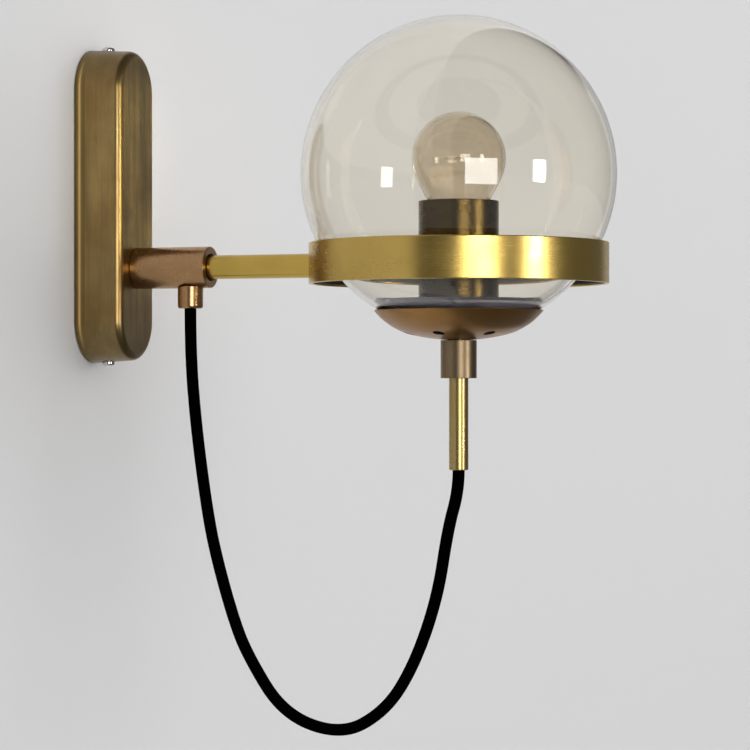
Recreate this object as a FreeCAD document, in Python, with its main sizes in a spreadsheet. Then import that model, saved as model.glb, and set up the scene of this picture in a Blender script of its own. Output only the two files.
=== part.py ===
import FreeCAD, Part
import math
import os
import re

import Sketcher

# A globe wall sconce, in millimetres. X runs along the wall, -Y out into the room and +Z up. The origin lies
# on the wall, at the centre of the canopy's rear outline.
#
# Pieces along the arm are turned about a line that stands square to the wall, so their own Z is the distance
# from the wall. Pieces of the lamp are turned about a plumb line through the globe, so their own Z is the
# height over the globe's centre.

os.makedirs("parts", exist_ok=True)
doc = FreeCAD.newDocument("globe_wall_sconce")

SIZES = [
    ("canopy_height", 156, "rear outline, top to bottom"),
    ("canopy_width", 43, "rear outline, side to side"),
    ("canopy_depth", 24, "wall to front face"),
    ("canopy_wall", 1.5, "sheet"),
    ("canopy_draft", 3.5, "lean of the side wall, degrees"),
    ("canopy_edge", 2.8, "rounding of the front edge"),
    ("fit_gap", 0.05, "radial clearance of a seated round piece"),
    ("screw_gap", 0.2, "radial clearance of a screw in a plain hole"),
    ("soft_gap", 0.15, "clearance of a soft ring or strip at the glass"),
    ("bracket_sheet", 1.5, "bracket strip"),
    ("bracket_width", 24, "strip on the wall"),
    ("bracket_gap", 0.3, "bracket to canopy"),
    ("tab_width", 12, "bent end of the bracket"),
    ("tab_length", 13, "bent end, from the wall"),
    ("shoulder_height", 10, "end tab to the wide part of the strip"),
    ("wall_hole", 4.5, "holes for the wall screws"),
    ("wall_hole_spacing", 100, "wall screws, centre to centre"),
    ("cable_hole", 14, "hole for the supply cable"),
    ("cable_hole_drop", 13, "cable hole below the centre"),
    ("earth_screw", 4, "earth screw, thread"),
    ("earth_head", 7, "earth screw, head"),
    ("earth_head_height", 2.6, "earth screw, head"),
    ("earth_screw_length", 3.5, "earth screw, under the head"),
    ("earth_drop", 60, "earth screw below the centre"),
    ("earth_boss", 4.2, "pressed boss under the earth screw"),
    ("side_screw", 3, "canopy screw, thread"),
    ("side_head", 5.5, "canopy screw, head"),
    ("side_head_height", 1.9, "canopy screw, head"),
    ("side_head_side", 0.85, "canopy screw, straight side of the head"),
    ("side_head_top", 3.3, "canopy screw, flat of the head"),
    ("side_head_curve", 1.95, "canopy screw, rounding of the head"),
    ("side_screw_length", 7, "canopy screw, under the head"),
    ("side_screw_reach", 8, "canopy screws, from the wall"),
    ("block_width", 17, "terminal block"),
    ("block_height", 30, "terminal block"),
    ("block_depth", 12, "terminal block"),
    ("block_rise", 10, "lower end of the terminal block over the centre"),
    ("block_pitch", 5.2, "terminals, centre to centre"),
    ("block_bore", 3.4, "wire entry"),
    ("block_well", 3.8, "screw well"),
    ("block_row", 7.5, "screw wells, from the block's ends"),
    ("block_well_depth", 5, "screw well"),
    ("arm_drop", 31, "arm's line below the origin"),
    ("hub_diameter", 20.4, "hub"),
    ("hub_length", 39.5, "hub, from the canopy"),
    ("hub_edge", 0.5, "hub, front edge"),
    ("hub_recess", 13.2, "recess that takes the arm's end"),
    ("hub_recess_depth", 2.5, "recess that takes the arm's end"),
    ("wire_bore", 8, "hub, way for the wires"),
    ("nipple_diameter", 10, "threaded nipples"),
    ("nipple_bore", 7, "threaded nipples"),
    ("hub_nipple_length", 19, "nipple through the canopy"),
    ("hub_nipple_engaged", 10, "nipple's length in the hub"),
    ("washer_diameter", 20, "washer inside the canopy"),
    ("washer_sheet", 1.5, "washer inside the canopy"),
    ("nut_flats", 14, "nipple nut, across flats"),
    ("hub_nut_height", 4, "nut inside the canopy"),
    ("grip_reach", 28.5, "cord grip's line, from the canopy"),
    ("grip_diameter", 12.5, "cord grip"),
    ("grip_length", 10, "cord grip below the hub"),
    ("grip_edge", 1.2, "cord grip, lower edge"),
    ("grip_top", 6.1, "cord grip's upper end below the arm's line"),
    ("grip_spigot", 8.8, "cord grip's neck in the hub"),
    ("cord_diameter", 5.8, "cord"),
    ("cord_gap", 0.1, "radial clearance of the cord in its ways"),
    ("wire_diameter", 1.6, "single wires"),
    ("wire_spacing", 2.4, "single wires, side by side"),
    ("wire_bend", 3, "bend of the wires in the hub"),
    ("wire_turn", 8, "bend of the wires in the canopy"),
    ("wire_entry", 5, "wires' length in the terminal block"),
    ("arm_diameter", 11.7, "arm"),
    ("arm_wall", 0.8, "arm"),
    ("arm_reach", 167, "canopy's face to the globe's line"),
    ("arm_nipple_length", 15, "nipple between hub and arm"),
    ("arm_nipple_engaged", 7, "nipple's length in the hub"),
    ("plug_length", 14, "plug in the arm's end"),
    ("ring_screw", 4, "screw through the ring"),
    ("ring_screw_head", 8, "screw through the ring, countersunk"),
    ("ring_screw_head_height", 1.9, "screw through the ring, countersunk"),
    ("ring_screw_length", 12, "screw through the ring"),
    ("globe_diameter", 150, "glass globe"),
    ("globe_wall", 2, "glass"),
    ("globe_opening", 62, "opening at the bottom of the glass"),
    ("globe_rise", 42.4, "globe's centre over the arm's line"),
    ("ring_height", 19.5, "support ring"),
    ("ring_wall", 2, "support ring"),
    ("seat_gap", 0.15, "glass to the liner's rim"),
    ("liner_wall", 1.5, "soft liner inside the ring"),
    ("liner_setback", 1, "liner's lower edge over the ring's"),
    ("cup_diameter", 80.8, "cup under the globe, at its rim"),
    ("cup_depth", 14.35, "cup, rim to bottom"),
    ("cup_wall", 1.3, "cup"),
    ("cup_base_curve", 97, "cup, radius of the shallow bottom"),
    ("cup_base_diameter", 44, "cup, width of the shallow bottom"),
    ("cup_rim_gap", 0.8, "cup's rim to the glass"),
    ("access_hole", 5.6, "holes over the clamp screws"),
    ("clamp_pitch_diameter", 47.6, "circle of the clamp screws"),
    ("clamp_angle", 110, "length of a clamp, degrees"),
    ("clamp_first_angle", 84.5, "middle of the first clamp, degrees from +X"),
    ("gasket_height", 3, "ring between cup and glass"),
    ("gasket_drop", 0.1, "gasket's top below the rim"),
    ("clamp_sheet", 1.6, "clamps"),
    ("clamp_lip", 79.6, "clamps, outer diameter of the lip"),
    ("clamp_leg", 59.2, "clamps, outer diameter of the leg"),
    ("clamp_inside", 41, "clamps, inner diameter of the foot"),
    ("clamp_gasket_wall", 1, "strip between clamps and glass"),
    ("clamp_gasket_inside", 63, "strip between clamps and glass"),
    ("carrier_diameter", 52, "carrier plate"),
    ("carrier_sheet", 1.6, "carrier plate"),
    ("carrier_rise", 5.9, "carrier plate over the cup's bottom"),
    ("clamp_travel", 1, "clamp's foot over the carrier plate"),
    ("clamp_screw", 2.5, "clamp screws, thread"),
    ("clamp_screw_head", 4.6, "clamp screws, head"),
    ("clamp_screw_head_height", 1.6, "clamp screws, head"),
    ("clamp_screw_length", 6, "clamp screws, under the head"),
    ("spacer_diameter", 16, "spacer in the cup"),
    ("holder_diameter", 38.1, "sleeve of the lampholder"),
    ("holder_wall", 1.5, "sleeve of the lampholder"),
    ("holder_height", 58.5, "sleeve of the lampholder"),
    ("holder_nut_height", 3, "nut in the sleeve"),
    ("porcelain_diameter", 34.4, "insert of the lampholder"),
    ("porcelain_setback", 2, "insert below the sleeve's rim"),
    ("porcelain_height", 47.1, "insert"),
    ("porcelain_shoulder", 35.1, "insert, wide part"),
    ("porcelain_foot", 28, "insert, foot's diameter"),
    ("porcelain_bore", 28.8, "insert, bore"),
    ("porcelain_floor", 34.1, "insert, depth of the bore"),
    ("shell_wall", 0.5, "threaded shell"),
    ("shell_height", 20.5, "threaded shell"),
    ("shell_gap", 0.3, "radial clearance of the lamp cap in the shell"),
    ("contact_diameter", 9, "centre contacts"),
    ("contact_gap", 0.3, "lamp's contact over the holder's"),
    ("centre_nipple_length", 34.3, "nipple under the lampholder"),
    ("nipple_in_porcelain", 7.5, "nipple's length in the insert"),
    ("collar_diameter", 17.2, "collar under the cup"),
    ("collar_length", 18, "collar under the cup"),
    ("collar_edge", 0.6, "collar's edges"),
    ("stem_diameter", 9.2, "stem"),
    ("stem_bore", 6.2, "stem"),
    ("stem_exposed", 43.5, "stem below the collar"),
    ("stem_socket_depth", 6.8, "collar's socket for the stem"),
    ("stem_engaged", 6.5, "stem's length in the collar"),
    ("cord_rise", 84.5, "cord's end over the stem's mouth"),
    ("bulb_diameter", 44.8, "bulb"),
    ("bulb_rise", 20.1, "bulb's centre over the sleeve's rim"),
    ("bulb_wall", 0.8, "bulb"),
    ("bulb_flare", 28, "start of the bulb's taper below its equator, degrees"),
    ("bulb_neck", 26.8, "neck"),
    ("bulb_neck_height", 6.2, "neck"),
    ("cap_diameter", 26, "lamp cap"),
    ("cap_wall", 0.5, "lamp cap"),
    ("cap_height", 22.5, "lamp cap"),
    ("cap_drop", 8.6, "cap's upper end below the sleeve's rim"),
    ("insulator_height", 3.2, "lamp cap's insulator"),
    ("insulator_small", 12, "lamp cap's insulator, lower end"),
    ("tip_height", 1.2, "lamp cap's contact"),
    ("mount_post", 5, "glass post in the bulb"),
    ("filament_diameter", 14, "filament's hoop"),
    ("filament_wire", 0.5, "filament"),
    ("filament_angle", 320, "filament's hoop, degrees of a full turn"),
]

# Sizes that follow from others. Heights of the lamp are over the globe's centre.
DERIVED = {
    "canopy_slope": "tan(canopy_draft * 1 deg)",
    "canopy_wall_slant": "canopy_wall / cos(canopy_draft * 1 deg)",
    "tab_curve": "canopy_width / 2 - canopy_wall_slant - tab_length * canopy_slope",
    "tab_sagitta": "tab_curve - sqrt(tab_curve^2 - (tab_width / 2)^2)",
    "tab_room": "canopy_height / 2 - canopy_wall_slant - tab_length * canopy_slope",
    "tab_height": "tab_room - tab_sagitta - bracket_gap",
    "side_seat": "canopy_height / 2 - (side_screw_reach - side_head / 2) * canopy_slope",
    "axis_reach": "canopy_depth + arm_reach",
    "hub_end": "canopy_depth + hub_length",
    "arm_start": "hub_end - hub_recess_depth",
    "nipple_way": "nipple_diameter / 2 + fit_gap",
    "hub_nipple_end": "canopy_depth + hub_nipple_engaged",
    "washer_start": "canopy_depth - canopy_wall",
    "grip_place": "canopy_depth + grip_reach",
    "grip_bottom": "hub_diameter / 2 + grip_length",
    "cord_way": "cord_diameter / 2 + cord_gap",
    "arm_bore": "arm_diameter / 2 - arm_wall",
    "globe_radius": "globe_diameter / 2",
    "globe_inside": "globe_diameter / 2 - globe_wall",
    "globe_z": "globe_rise - arm_drop",
    "seat_radius": "sqrt(globe_radius^2 - (globe_rise - ring_height / 2)^2) + seat_gap",
    "ring_inside": "seat_radius + liner_wall",
    "ring_outside": "ring_inside + ring_wall",
    "arm_end": "axis_reach - ring_outside",
    "ring_screw_start": "axis_reach - ring_inside",
    "cup_radius": "cup_diameter / 2",
    "cup_rim": "-sqrt(globe_radius^2 - (cup_radius - cup_wall - cup_rim_gap)^2)",
    "cup_bottom": "cup_rim - cup_depth",
    "base_sin": "cup_base_diameter / 2 / cup_base_curve",
    "base_cos": "sqrt(1 - base_sin^2)",
    "base_top": "cup_bottom + cup_base_curve * (1 - base_cos)",
    "side_run": "cup_radius - cup_base_diameter / 2",
    "side_rise": "cup_rim - base_top",
    "cup_side_curve": "(side_run^2 + side_rise^2) / (2 * (side_rise * base_cos - side_run * base_sin))",
    "side_centre_r": "cup_base_diameter / 2 - cup_side_curve * base_sin",
    "side_centre_z": "base_top + cup_side_curve * base_cos",
    "cup_inner_side": "cup_side_curve - cup_wall",
    "cup_inner_rim": "side_centre_r + sqrt(cup_inner_side^2 - (cup_rim - side_centre_z)^2)",
    "cup_inner_base": "cup_base_curve - cup_wall",
    "base_centre_z": "cup_bottom + cup_base_curve",
    "gasket_top": "cup_rim - gasket_drop",
    "gasket_low": "gasket_top - gasket_height",
    "gasket_sphere": "globe_radius + soft_gap",
    "gasket_side": "cup_inner_side - fit_gap",
    "gasket_top_out": "side_centre_r + sqrt(gasket_side^2 - (gasket_top - side_centre_z)^2)",
    "gasket_low_out": "side_centre_r + sqrt(gasket_side^2 - (gasket_low - side_centre_z)^2)",
    "carrier_low": "cup_bottom + carrier_rise",
    "carrier_top": "carrier_low + carrier_sheet",
    "foot_low": "carrier_top + clamp_travel",
    "foot_top": "foot_low + clamp_sheet",
    "lip_sphere": "globe_inside - clamp_gasket_wall",
    "lip_inner_sphere": "lip_sphere - clamp_sheet",
    "strip_sphere": "globe_inside - soft_gap",
    "lip_r": "clamp_lip / 2",
    "lip_z": "-sqrt(lip_sphere^2 - lip_r^2)",
    "leg_r": "clamp_leg / 2",
    "leg_inside": "leg_r - clamp_sheet",
    "lip_scale": "lip_inner_sphere / lip_sphere",
    "spacer_low": "base_centre_z - sqrt(cup_inner_base^2 - (spacer_diameter / 2)^2)",
    "holder_low": "carrier_top",
    "holder_floor": "holder_low + holder_wall",
    "holder_top": "holder_low + holder_height",
    "porcelain_top": "holder_top - porcelain_setback",
    "porcelain_low": "porcelain_top - porcelain_height",
    "well_floor": "porcelain_top - porcelain_floor",
    "cap_top": "holder_top - cap_drop",
    "cap_low": "cap_top - cap_height",
    "tip_top": "cap_low - insulator_height",
    "tip_low": "tip_top - tip_height",
    "contact_top": "tip_low - contact_gap",
    "shell_inside": "cap_diameter / 2 + shell_gap",
    "shell_outside": "shell_inside + shell_wall",
    "shell_top": "cap_low + shell_height",
    "centre_nipple_top": "porcelain_low + nipple_in_porcelain",
    "centre_nipple_low": "centre_nipple_top - centre_nipple_length",
    "collar_low": "cup_bottom - collar_length",
    "stem_top": "collar_low + stem_engaged",
    "stem_low": "collar_low - stem_exposed",
    "bulb_z": "holder_top + bulb_rise",
    "bulb_radius": "bulb_diameter / 2",
    "flare_sin": "sin(bulb_flare * 1 deg)",
    "flare_cos": "cos(bulb_flare * 1 deg)",
    "bulb_inner": "bulb_radius - bulb_wall",
    "neck_r": "bulb_neck / 2",
    "neck_inner": "neck_r - bulb_wall",
    "neck_top": "cap_top + bulb_neck_height",
}

# The cord's route in the plane through the arm, as distance from the wall and height: out of the grip, down
# into its belly and up into the stem.
CORD_POINTS = [
    (52.5, -51.2),
    (52.5, -73.6),
    (55.5, -108.7),
    (61.3, -149.5),
    (66.0, -171.9),
    (75.1, -202.4),
    (82.8, -220.7),
    (101.7, -248.9),
    (131.8, -257.7),
    (154.0, -245.1),
    (168.1, -223.9),
    (180.3, -190.8),
    (185.7, -156.8),
    (191.0, -138.5),
    (191.0, -129.0),
]

sheet = doc.addObject("Spreadsheet::Sheet", "sizes")
for row, (alias, number, note) in enumerate(SIZES, start=1):
    sheet.set("A%d" % row, alias)
    sheet.set("B%d" % row, str(number))
    sheet.setAlias("B%d" % row, alias)
    sheet.set("C%d" % row, note)
doc.recompute()
ALIASES = {alias for alias, number, note in SIZES}
TOUCH = 1e-4


def expression(text):
    """The text with derived sizes opened up and sheet sizes addressed in the sheet."""
    def opened(match):
        word = match.group(0)
        if word in DERIVED:
            return "(" + expression(DERIVED[word]) + ")"
        return "sizes." + word if word in ALIASES else word
    return re.sub(r"[a-z_]+", opened, text)


def value(text):
    """The present value of an expression, as a plain number."""
    return float(sheet.evalExpression(expression(text)))


def vector(u, v, w=0.0):
    return FreeCAD.Vector(u, v, w)


# ---- sketches -------------------------------------------------------------------------------------------


def new_body(name):
    body = doc.addObject("PartDesign::Body", name)
    body.Label = name
    return body


def origin_feature(body, role):
    return [item for item in body.Origin.OriginFeatures if item.Role == role][0]


def new_sketch(body, plane, name, offset=None):
    """A sketch on one of the body's own origin planes, moved off it by an expression."""
    sketch = body.newObject("Sketcher::SketchObject", name)
    sketch.AttachmentSupport = [(origin_feature(body, plane), "")]
    sketch.MapMode = "FlatFace"
    if offset:
        sketch.setExpression("AttachmentOffset.Base.z", expression(offset))
    return sketch


def bind(sketch, constraint, text):
    index = sketch.addConstraint(constraint)
    sketch.setExpression("Constraints[%d]" % index, expression(text))


def pin(sketch, edge, end, u, v):
    """Holds one point of the sketch at a pair of expressions, measured from the origin."""
    for kind, axis, text in (("DistanceX", -2, u), ("DistanceY", -1, v)):
        if text == "0":
            sketch.addConstraint(Sketcher.Constraint("PointOnObject", edge, end, axis))
        else:
            bind(sketch, Sketcher.Constraint(kind, -1, 1, edge, end, value(text)), text)


def add_arc(sketch, first, second, radius, turn):
    """An arc of under a half circle between two points; turn is 1 anticlockwise and -1 clockwise."""
    chord = second - first
    rise = math.sqrt(max(radius ** 2 - (chord.Length / 2) ** 2, 0.0))
    left = vector(-chord.y, chord.x).normalize()
    centre = (first + second) * 0.5 + left * (rise * turn)
    start, end = (first, second) if turn > 0 else (second, first)
    angles = [math.atan2(point.y - centre.y, point.x - centre.x) for point in (start, end)]
    circle = Part.Circle(centre, vector(0, 0, 1), radius)
    sketch.addGeometry(Part.ArcOfCircle(circle, angles[0], angles[1]), False)
    return (1, 2) if turn > 0 else (2, 1)


def outline(sketch, points, arcs=None):
    """A closed outline through points given as pairs of expressions. arcs holds the radius and the turn of
    each bent edge, under the number of the point that it leaves."""
    arcs = arcs or {}
    places = [vector(value(u), value(v)) for u, v in points]
    count = len(points)
    base = sketch.GeometryCount
    ends = []
    for index, first in enumerate(places):
        second = places[(index + 1) % count]
        if index in arcs:
            radius, turn = arcs[index]
            ends.append(add_arc(sketch, first, second, value(radius), turn))
        else:
            sketch.addGeometry(Part.LineSegment(first, second), False)
            ends.append((1, 2))
    for index in range(count):
        following = (index + 1) % count
        sketch.addConstraint(Sketcher.Constraint(
            "Coincident", base + index, ends[index][1], base + following, ends[following][0]))
    for index, (u, v) in enumerate(points):
        pin(sketch, base + index, ends[index][0], u, v)
        if index in arcs:
            radius = arcs[index][0]
            bind(sketch, Sketcher.Constraint("Radius", base + index, value(radius)), radius)


def rectangle(sketch, left, right, low, high):
    outline(sketch, [(left, low), (right, low), (right, high), (left, high)])


def circle(sketch, u, v, radius):
    index = sketch.addGeometry(Part.Circle(vector(value(u), value(v)), vector(0, 0, 1), value(radius)), False)
    pin(sketch, index, 3, u, v)
    bind(sketch, Sketcher.Constraint("Radius", index, value(radius)), radius)


def obround(sketch, half_width, half_height):
    """Two half circles, one over the other, joined by upright lines."""
    radius = value(half_width)
    centre = value(half_height) - radius
    up = vector(0, 0, 1)
    top = Part.Circle(vector(0, centre), up, radius)
    bottom = Part.Circle(vector(0, -centre), up, radius)
    sketch.addGeometry(Part.ArcOfCircle(top, 0, math.pi), False)
    sketch.addGeometry(Part.LineSegment(vector(-radius, centre), vector(-radius, -centre)), False)
    sketch.addGeometry(Part.ArcOfCircle(bottom, math.pi, 2 * math.pi), False)
    sketch.addGeometry(Part.LineSegment(vector(radius, -centre), vector(radius, centre)), False)
    for edge in range(4):
        sketch.addConstraint(Sketcher.Constraint("Tangent", edge, 2, (edge + 1) % 4, 1))
    for edge, sign in ((0, ""), (2, "-")):
        pin(sketch, edge, 3, "0", "%s((%s) - (%s))" % (sign, half_height, half_width))
        bind(sketch, Sketcher.Constraint("Radius", edge, radius), half_width)


# ---- features -------------------------------------------------------------------------------------------


def revolve(body, sketch, cut=False, angle=None):
    """Turns a sketch about its own upright axis, to add or to cut, all round or about the sketch's plane."""
    kind = "Groove" if cut else "Revolution"
    feature = body.newObject("PartDesign::" + kind, body.Name + "_" + kind.lower())
    feature.Profile = sketch
    feature.ReferenceAxis = (sketch, ["V_Axis"])
    feature.Angle = 360
    if angle:
        feature.setExpression("Angle", expression(angle))
        feature.Midplane = True
    return feature


def pad(body, sketch, length, both_ways=False):
    feature = body.newObject("PartDesign::Pad", body.Name + "_pad")
    feature.Profile = sketch
    feature.setExpression("Length", expression(length))
    feature.SideType = "Symmetric" if both_ways else "One side"
    return feature


def pocket(body, sketch, both_ways=False, reverse=False, depth=None):
    """Cuts a sketch out, through everything or to a depth, and makes sure that something is cut."""
    doc.recompute()
    feature = body.newObject("PartDesign::Pocket", body.Name + "_pocket")
    feature.Profile = sketch
    feature.SideType = "Symmetric" if both_ways else "One side"
    feature.Reversed = reverse
    if depth:
        feature.setExpression("Length", expression(depth))
    else:
        feature.Type = "ThroughAll"
    before = feature.BaseFeature.Shape.Volume
    doc.recompute()
    if feature.Shape.Volume > before - TOUCH:
        raise ValueError(body.Label + ": a pocket cuts nothing")
    return feature


def edges_where(shape, test):
    """Names of the edges all of whose sampled points pass a test."""
    names = []
    for number, edge in enumerate(shape.Edges, start=1):
        first, last = edge.ParameterRange
        samples = [edge.valueAt(first + (last - first) * step / 4) for step in range(5)]
        if all(test(point) for point in samples):
            names.append("Edge%d" % number)
    return names


def dress(body, kind, base, test, size, text):
    """A fillet or a chamfer on the edges that pass a test."""
    doc.recompute()
    feature = body.newObject("PartDesign::" + kind, body.Name + "_" + kind.lower())
    names = edges_where(base.Shape, test)
    if not names:
        raise ValueError(body.Label + ": no edge to dress")
    feature.Base = (base, names)
    feature.setExpression(size, expression(text))
    return feature


def polar_pattern(body, features, count):
    feature = body.newObject("PartDesign::PolarPattern", body.Name + "_pattern")
    feature.Originals = features
    feature.Axis = (origin_feature(body, "Z_Axis"), [""])
    feature.Angle = 360
    feature.Occurrences = count
    body.Tip = feature
    return feature


def turned(name, points, arcs=None):
    """A body turned about the sketch's upright axis; its points are radius and height."""
    body = new_body(name)
    sketch = new_sketch(body, "XZ_Plane", name + "_profile")
    outline(sketch, points, arcs)
    revolve(body, sketch)
    return body


def turned_tube(name, outer, inner, low, high):
    return turned(name, [(inner, low), (outer, low), (outer, high), (inner, high)])


# ---- places ---------------------------------------------------------------------------------------------


def place(item, x="0", y="0", z="0", turn=None, about=(0, 0, 1)):
    """Puts an item at expressions of the sizes, turned by a number of degrees about a direction."""
    if turn:
        item.Placement = FreeCAD.Placement(vector(0, 0), FreeCAD.Rotation(vector(*about), turn))
    for axis, text in (("x", x), ("y", y), ("z", z)):
        item.setExpression("Placement.Base." + axis, expression(text))
    return item


def on_arm(item):
    """The item's Z becomes the distance from the wall, on the arm's line."""
    return place(item, z="-arm_drop", turn=90, about=(1, 0, 0))


def on_globe(item, turn=None):
    """The item's Z becomes the height over the globe's centre."""
    return place(item, y="-axis_reach", z="globe_z", turn=turn)


def hexagon_nut(name, low, height):
    """A nut on a threaded nipple, standing on a height along its own line."""
    nut = doc.addObject("Part::Prism", name + "_hexagon")
    nut.Polygon = 6
    nut.setExpression("Circumradius", expression("nut_flats / sqrt(3)"))
    nut.setExpression("Height", expression(height))
    hole = doc.addObject("Part::Cylinder", name + "_hole")
    hole.setExpression("Radius", expression("nipple_way"))
    hole.setExpression("Height", expression(height))
    for solid in (nut, hole):
        solid.setExpression("Placement.Base.z", expression(low))
    result = doc.addObject("Part::Cut", name)
    result.Label = name
    result.Base = nut
    result.Tool = hole
    return result


def swept(name, route, radius):
    """A round tube along straight runs joined by tangent arcs. The route holds a point and the radius of the
    bend there, which is None at its ends."""
    edges = []
    points = [point for point, bend in route]
    start = points[0]
    for number in range(1, len(route) - 1):
        corner, bend = route[number]
        back = (points[number - 1] - corner).normalize()
        ahead = (points[number + 1] - corner).normalize()
        half_turn = (math.pi - back.getAngle(ahead)) / 2
        cut = bend * math.tan(half_turn)
        reach = bend / math.cos(half_turn) - bend
        first = corner + back * cut
        second = corner + ahead * cut
        edges.append(Part.LineSegment(start, first).toShape())
        edges.append(Part.Arc(first, corner + (back + ahead).normalize() * reach, second).toShape())
        start = second
    edges.append(Part.LineSegment(start, points[-1]).toShape())
    wire = Part.Wire(edges)
    heading = (points[1] - points[0]).normalize()
    section = Part.Wire([Part.Circle(points[0], heading, radius).toShape()])
    shape = wire.makePipeShell([section], True, False)
    expected = math.pi * radius ** 2 * wire.Length
    if abs(shape.Volume / expected - 1) > 0.01:
        raise ValueError("%s: volume %.0f, not %.0f" % (name, shape.Volume, expected))
    print("%s: length %.1f" % (name, wire.Length))
    return shape


def cord_route(points):
    """Gives each point of a free cord the largest bend that its two runs allow."""
    bend_share = 0.45
    route = [(points[0], None)]
    for number in range(1, len(points) - 1):
        back = points[number - 1] - points[number]
        ahead = points[number + 1] - points[number]
        half_turn = (math.pi - back.getAngle(ahead)) / 2
        bend = bend_share * min(back.Length, ahead.Length) / math.tan(half_turn)
        route.append((points[number], bend))
    route.append((points[-1], None))
    print("cord: bend radii " + ", ".join("%.0f" % bend for point, bend in route[1:-1]))
    return route


def solid_feature(name, shape):
    feature = doc.addObject("Part::Feature", name)
    feature.Label = name
    feature.Shape = shape
    return feature


# ---- canopy and what it holds ---------------------------------------------------------------------------


def canopy_cover():
    """Drawn cover: an obround with leaning sides and a rounded front edge, open at the wall."""
    body = new_body("canopy_cover")
    rim = new_sketch(body, "XZ_Plane", "canopy_rim")
    obround(rim, "canopy_width / 2", "canopy_height / 2")
    form = pad(body, rim, "canopy_depth")
    form.setExpression("TaperAngle", expression("-canopy_draft"))
    front = -value("canopy_depth")
    dress(body, "Fillet", form, lambda point: abs(point.y - front) < TOUCH,
          "Radius", "canopy_edge")
    room = new_sketch(body, "XZ_Plane", "canopy_room")
    obround(room, "canopy_width / 2 - canopy_wall_slant", "canopy_height / 2 - canopy_wall_slant")
    hollow = pocket(body, room, reverse=True, depth="canopy_depth - canopy_wall")
    hollow.setExpression("TaperAngle", expression("-canopy_draft"))
    floor = value("canopy_wall - canopy_depth")
    dress(body, "Fillet", hollow, lambda point: abs(point.y - floor) < TOUCH,
          "Radius", "canopy_edge - canopy_wall")
    way = new_sketch(body, "XZ_Plane", "canopy_nipple_hole")
    circle(way, "0", "-arm_drop", "nipple_diameter / 2 + screw_gap")
    pocket(body, way, reverse=True)
    sides = new_sketch(body, "XY_Plane", "canopy_side_holes")
    circle(sides, "0", "-side_screw_reach", "side_screw / 2 + screw_gap")
    pocket(body, sides, both_ways=True)
    return body


def wall_bracket():
    """Strip on the wall with both ends bent forward, and a boss for the earth screw."""
    body = new_body("wall_bracket")
    strip = new_sketch(body, "YZ_Plane", "bracket_strip")
    outline(strip, [
        ("0", "-tab_height"), ("0", "tab_height"),
        ("-tab_length", "tab_height"), ("-tab_length", "tab_height - bracket_sheet"),
        ("-bracket_sheet", "tab_height - bracket_sheet"), ("-bracket_sheet", "bracket_sheet - tab_height"),
        ("-tab_length", "bracket_sheet - tab_height"), ("-tab_length", "-tab_height"),
    ])
    pad(body, strip, "tab_width", both_ways=True)
    plate = new_sketch(body, "XZ_Plane", "bracket_plate")
    rectangle(plate, "-bracket_width / 2", "bracket_width / 2",
              "shoulder_height - tab_height", "tab_height - shoulder_height")
    pad(body, plate, "bracket_sheet")
    boss = new_sketch(body, "XZ_Plane", "bracket_boss")
    circle(boss, "0", "-earth_drop", "earth_head / 2 + bracket_sheet")
    pad(body, boss, "earth_boss")
    doc.recompute()
    holes = new_sketch(body, "XZ_Plane", "bracket_holes")
    circle(holes, "0", "wall_hole_spacing / 2", "wall_hole / 2")
    circle(holes, "0", "-wall_hole_spacing / 2", "wall_hole / 2")
    circle(holes, "0", "-cable_hole_drop", "cable_hole / 2")
    pocket(body, holes, both_ways=True)
    earth = new_sketch(body, "XZ_Plane", "bracket_earth_hole")
    circle(earth, "0", "-earth_drop", "earth_screw / 2 + fit_gap")
    pocket(body, earth, both_ways=True)
    tabs = new_sketch(body, "XY_Plane", "bracket_tab_holes")
    circle(tabs, "0", "-side_screw_reach", "side_screw / 2 + fit_gap")
    pocket(body, tabs, both_ways=True)
    return body


def canopy_screws():
    """Two screws, from above and from below, through the canopy into the bracket's ends."""
    body = new_body("canopy_screws")
    sketch = new_sketch(body, "XZ_Plane", "canopy_screw_profile")
    outline(sketch, [
        ("0", "side_seat - side_screw_length"), ("side_screw / 2", "side_seat - side_screw_length"),
        ("side_screw / 2", "side_seat"), ("side_head / 2", "side_seat"),
        ("side_head / 2", "side_seat + side_head_side"),
        ("side_head_top / 2", "side_seat + side_head_height"), ("0", "side_seat + side_head_height"),
    ], {4: ("side_head_curve", 1)})
    screw = revolve(body, sketch)
    mirror = body.newObject("PartDesign::Mirrored", "canopy_screws_mirrored")
    mirror.Originals = [screw]
    mirror.MirrorPlane = (origin_feature(body, "XY_Plane"), [""])
    body.Tip = mirror
    return place(body, y="-side_screw_reach")


def earth_screw():
    body = turned("earth_screw", [
        ("0", "earth_boss - earth_screw_length"), ("earth_screw / 2", "earth_boss - earth_screw_length"),
        ("earth_screw / 2", "earth_boss"), ("earth_head / 2", "earth_boss"),
        ("earth_head / 2", "earth_boss + earth_head_height"), ("0", "earth_boss + earth_head_height"),
    ])
    return place(body, z="-earth_drop", turn=90, about=(1, 0, 0))


def terminal_block():
    """Moulded block with three wire ways and a screw well over each end of a way."""
    body = new_body("terminal_block")
    base = new_sketch(body, "XZ_Plane", "block_outline", "bracket_sheet")
    rectangle(base, "-block_width / 2", "block_width / 2", "block_rise", "block_rise + block_height")
    pad(body, base, "block_depth")
    doc.recompute()
    ways = new_sketch(body, "XY_Plane", "block_ways")
    wells = new_sketch(body, "XZ_Plane", "block_wells", "bracket_sheet + block_depth")
    for column in ("-block_pitch", "0", "block_pitch"):
        circle(ways, column, "-bracket_sheet - block_depth / 2", "block_bore / 2")
        for row in ("block_rise + block_row", "block_rise + block_height - block_row"):
            circle(wells, column, row, "block_well / 2")
    pocket(body, ways, both_ways=True)
    pocket(body, wells, depth="block_well_depth")
    return body


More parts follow.
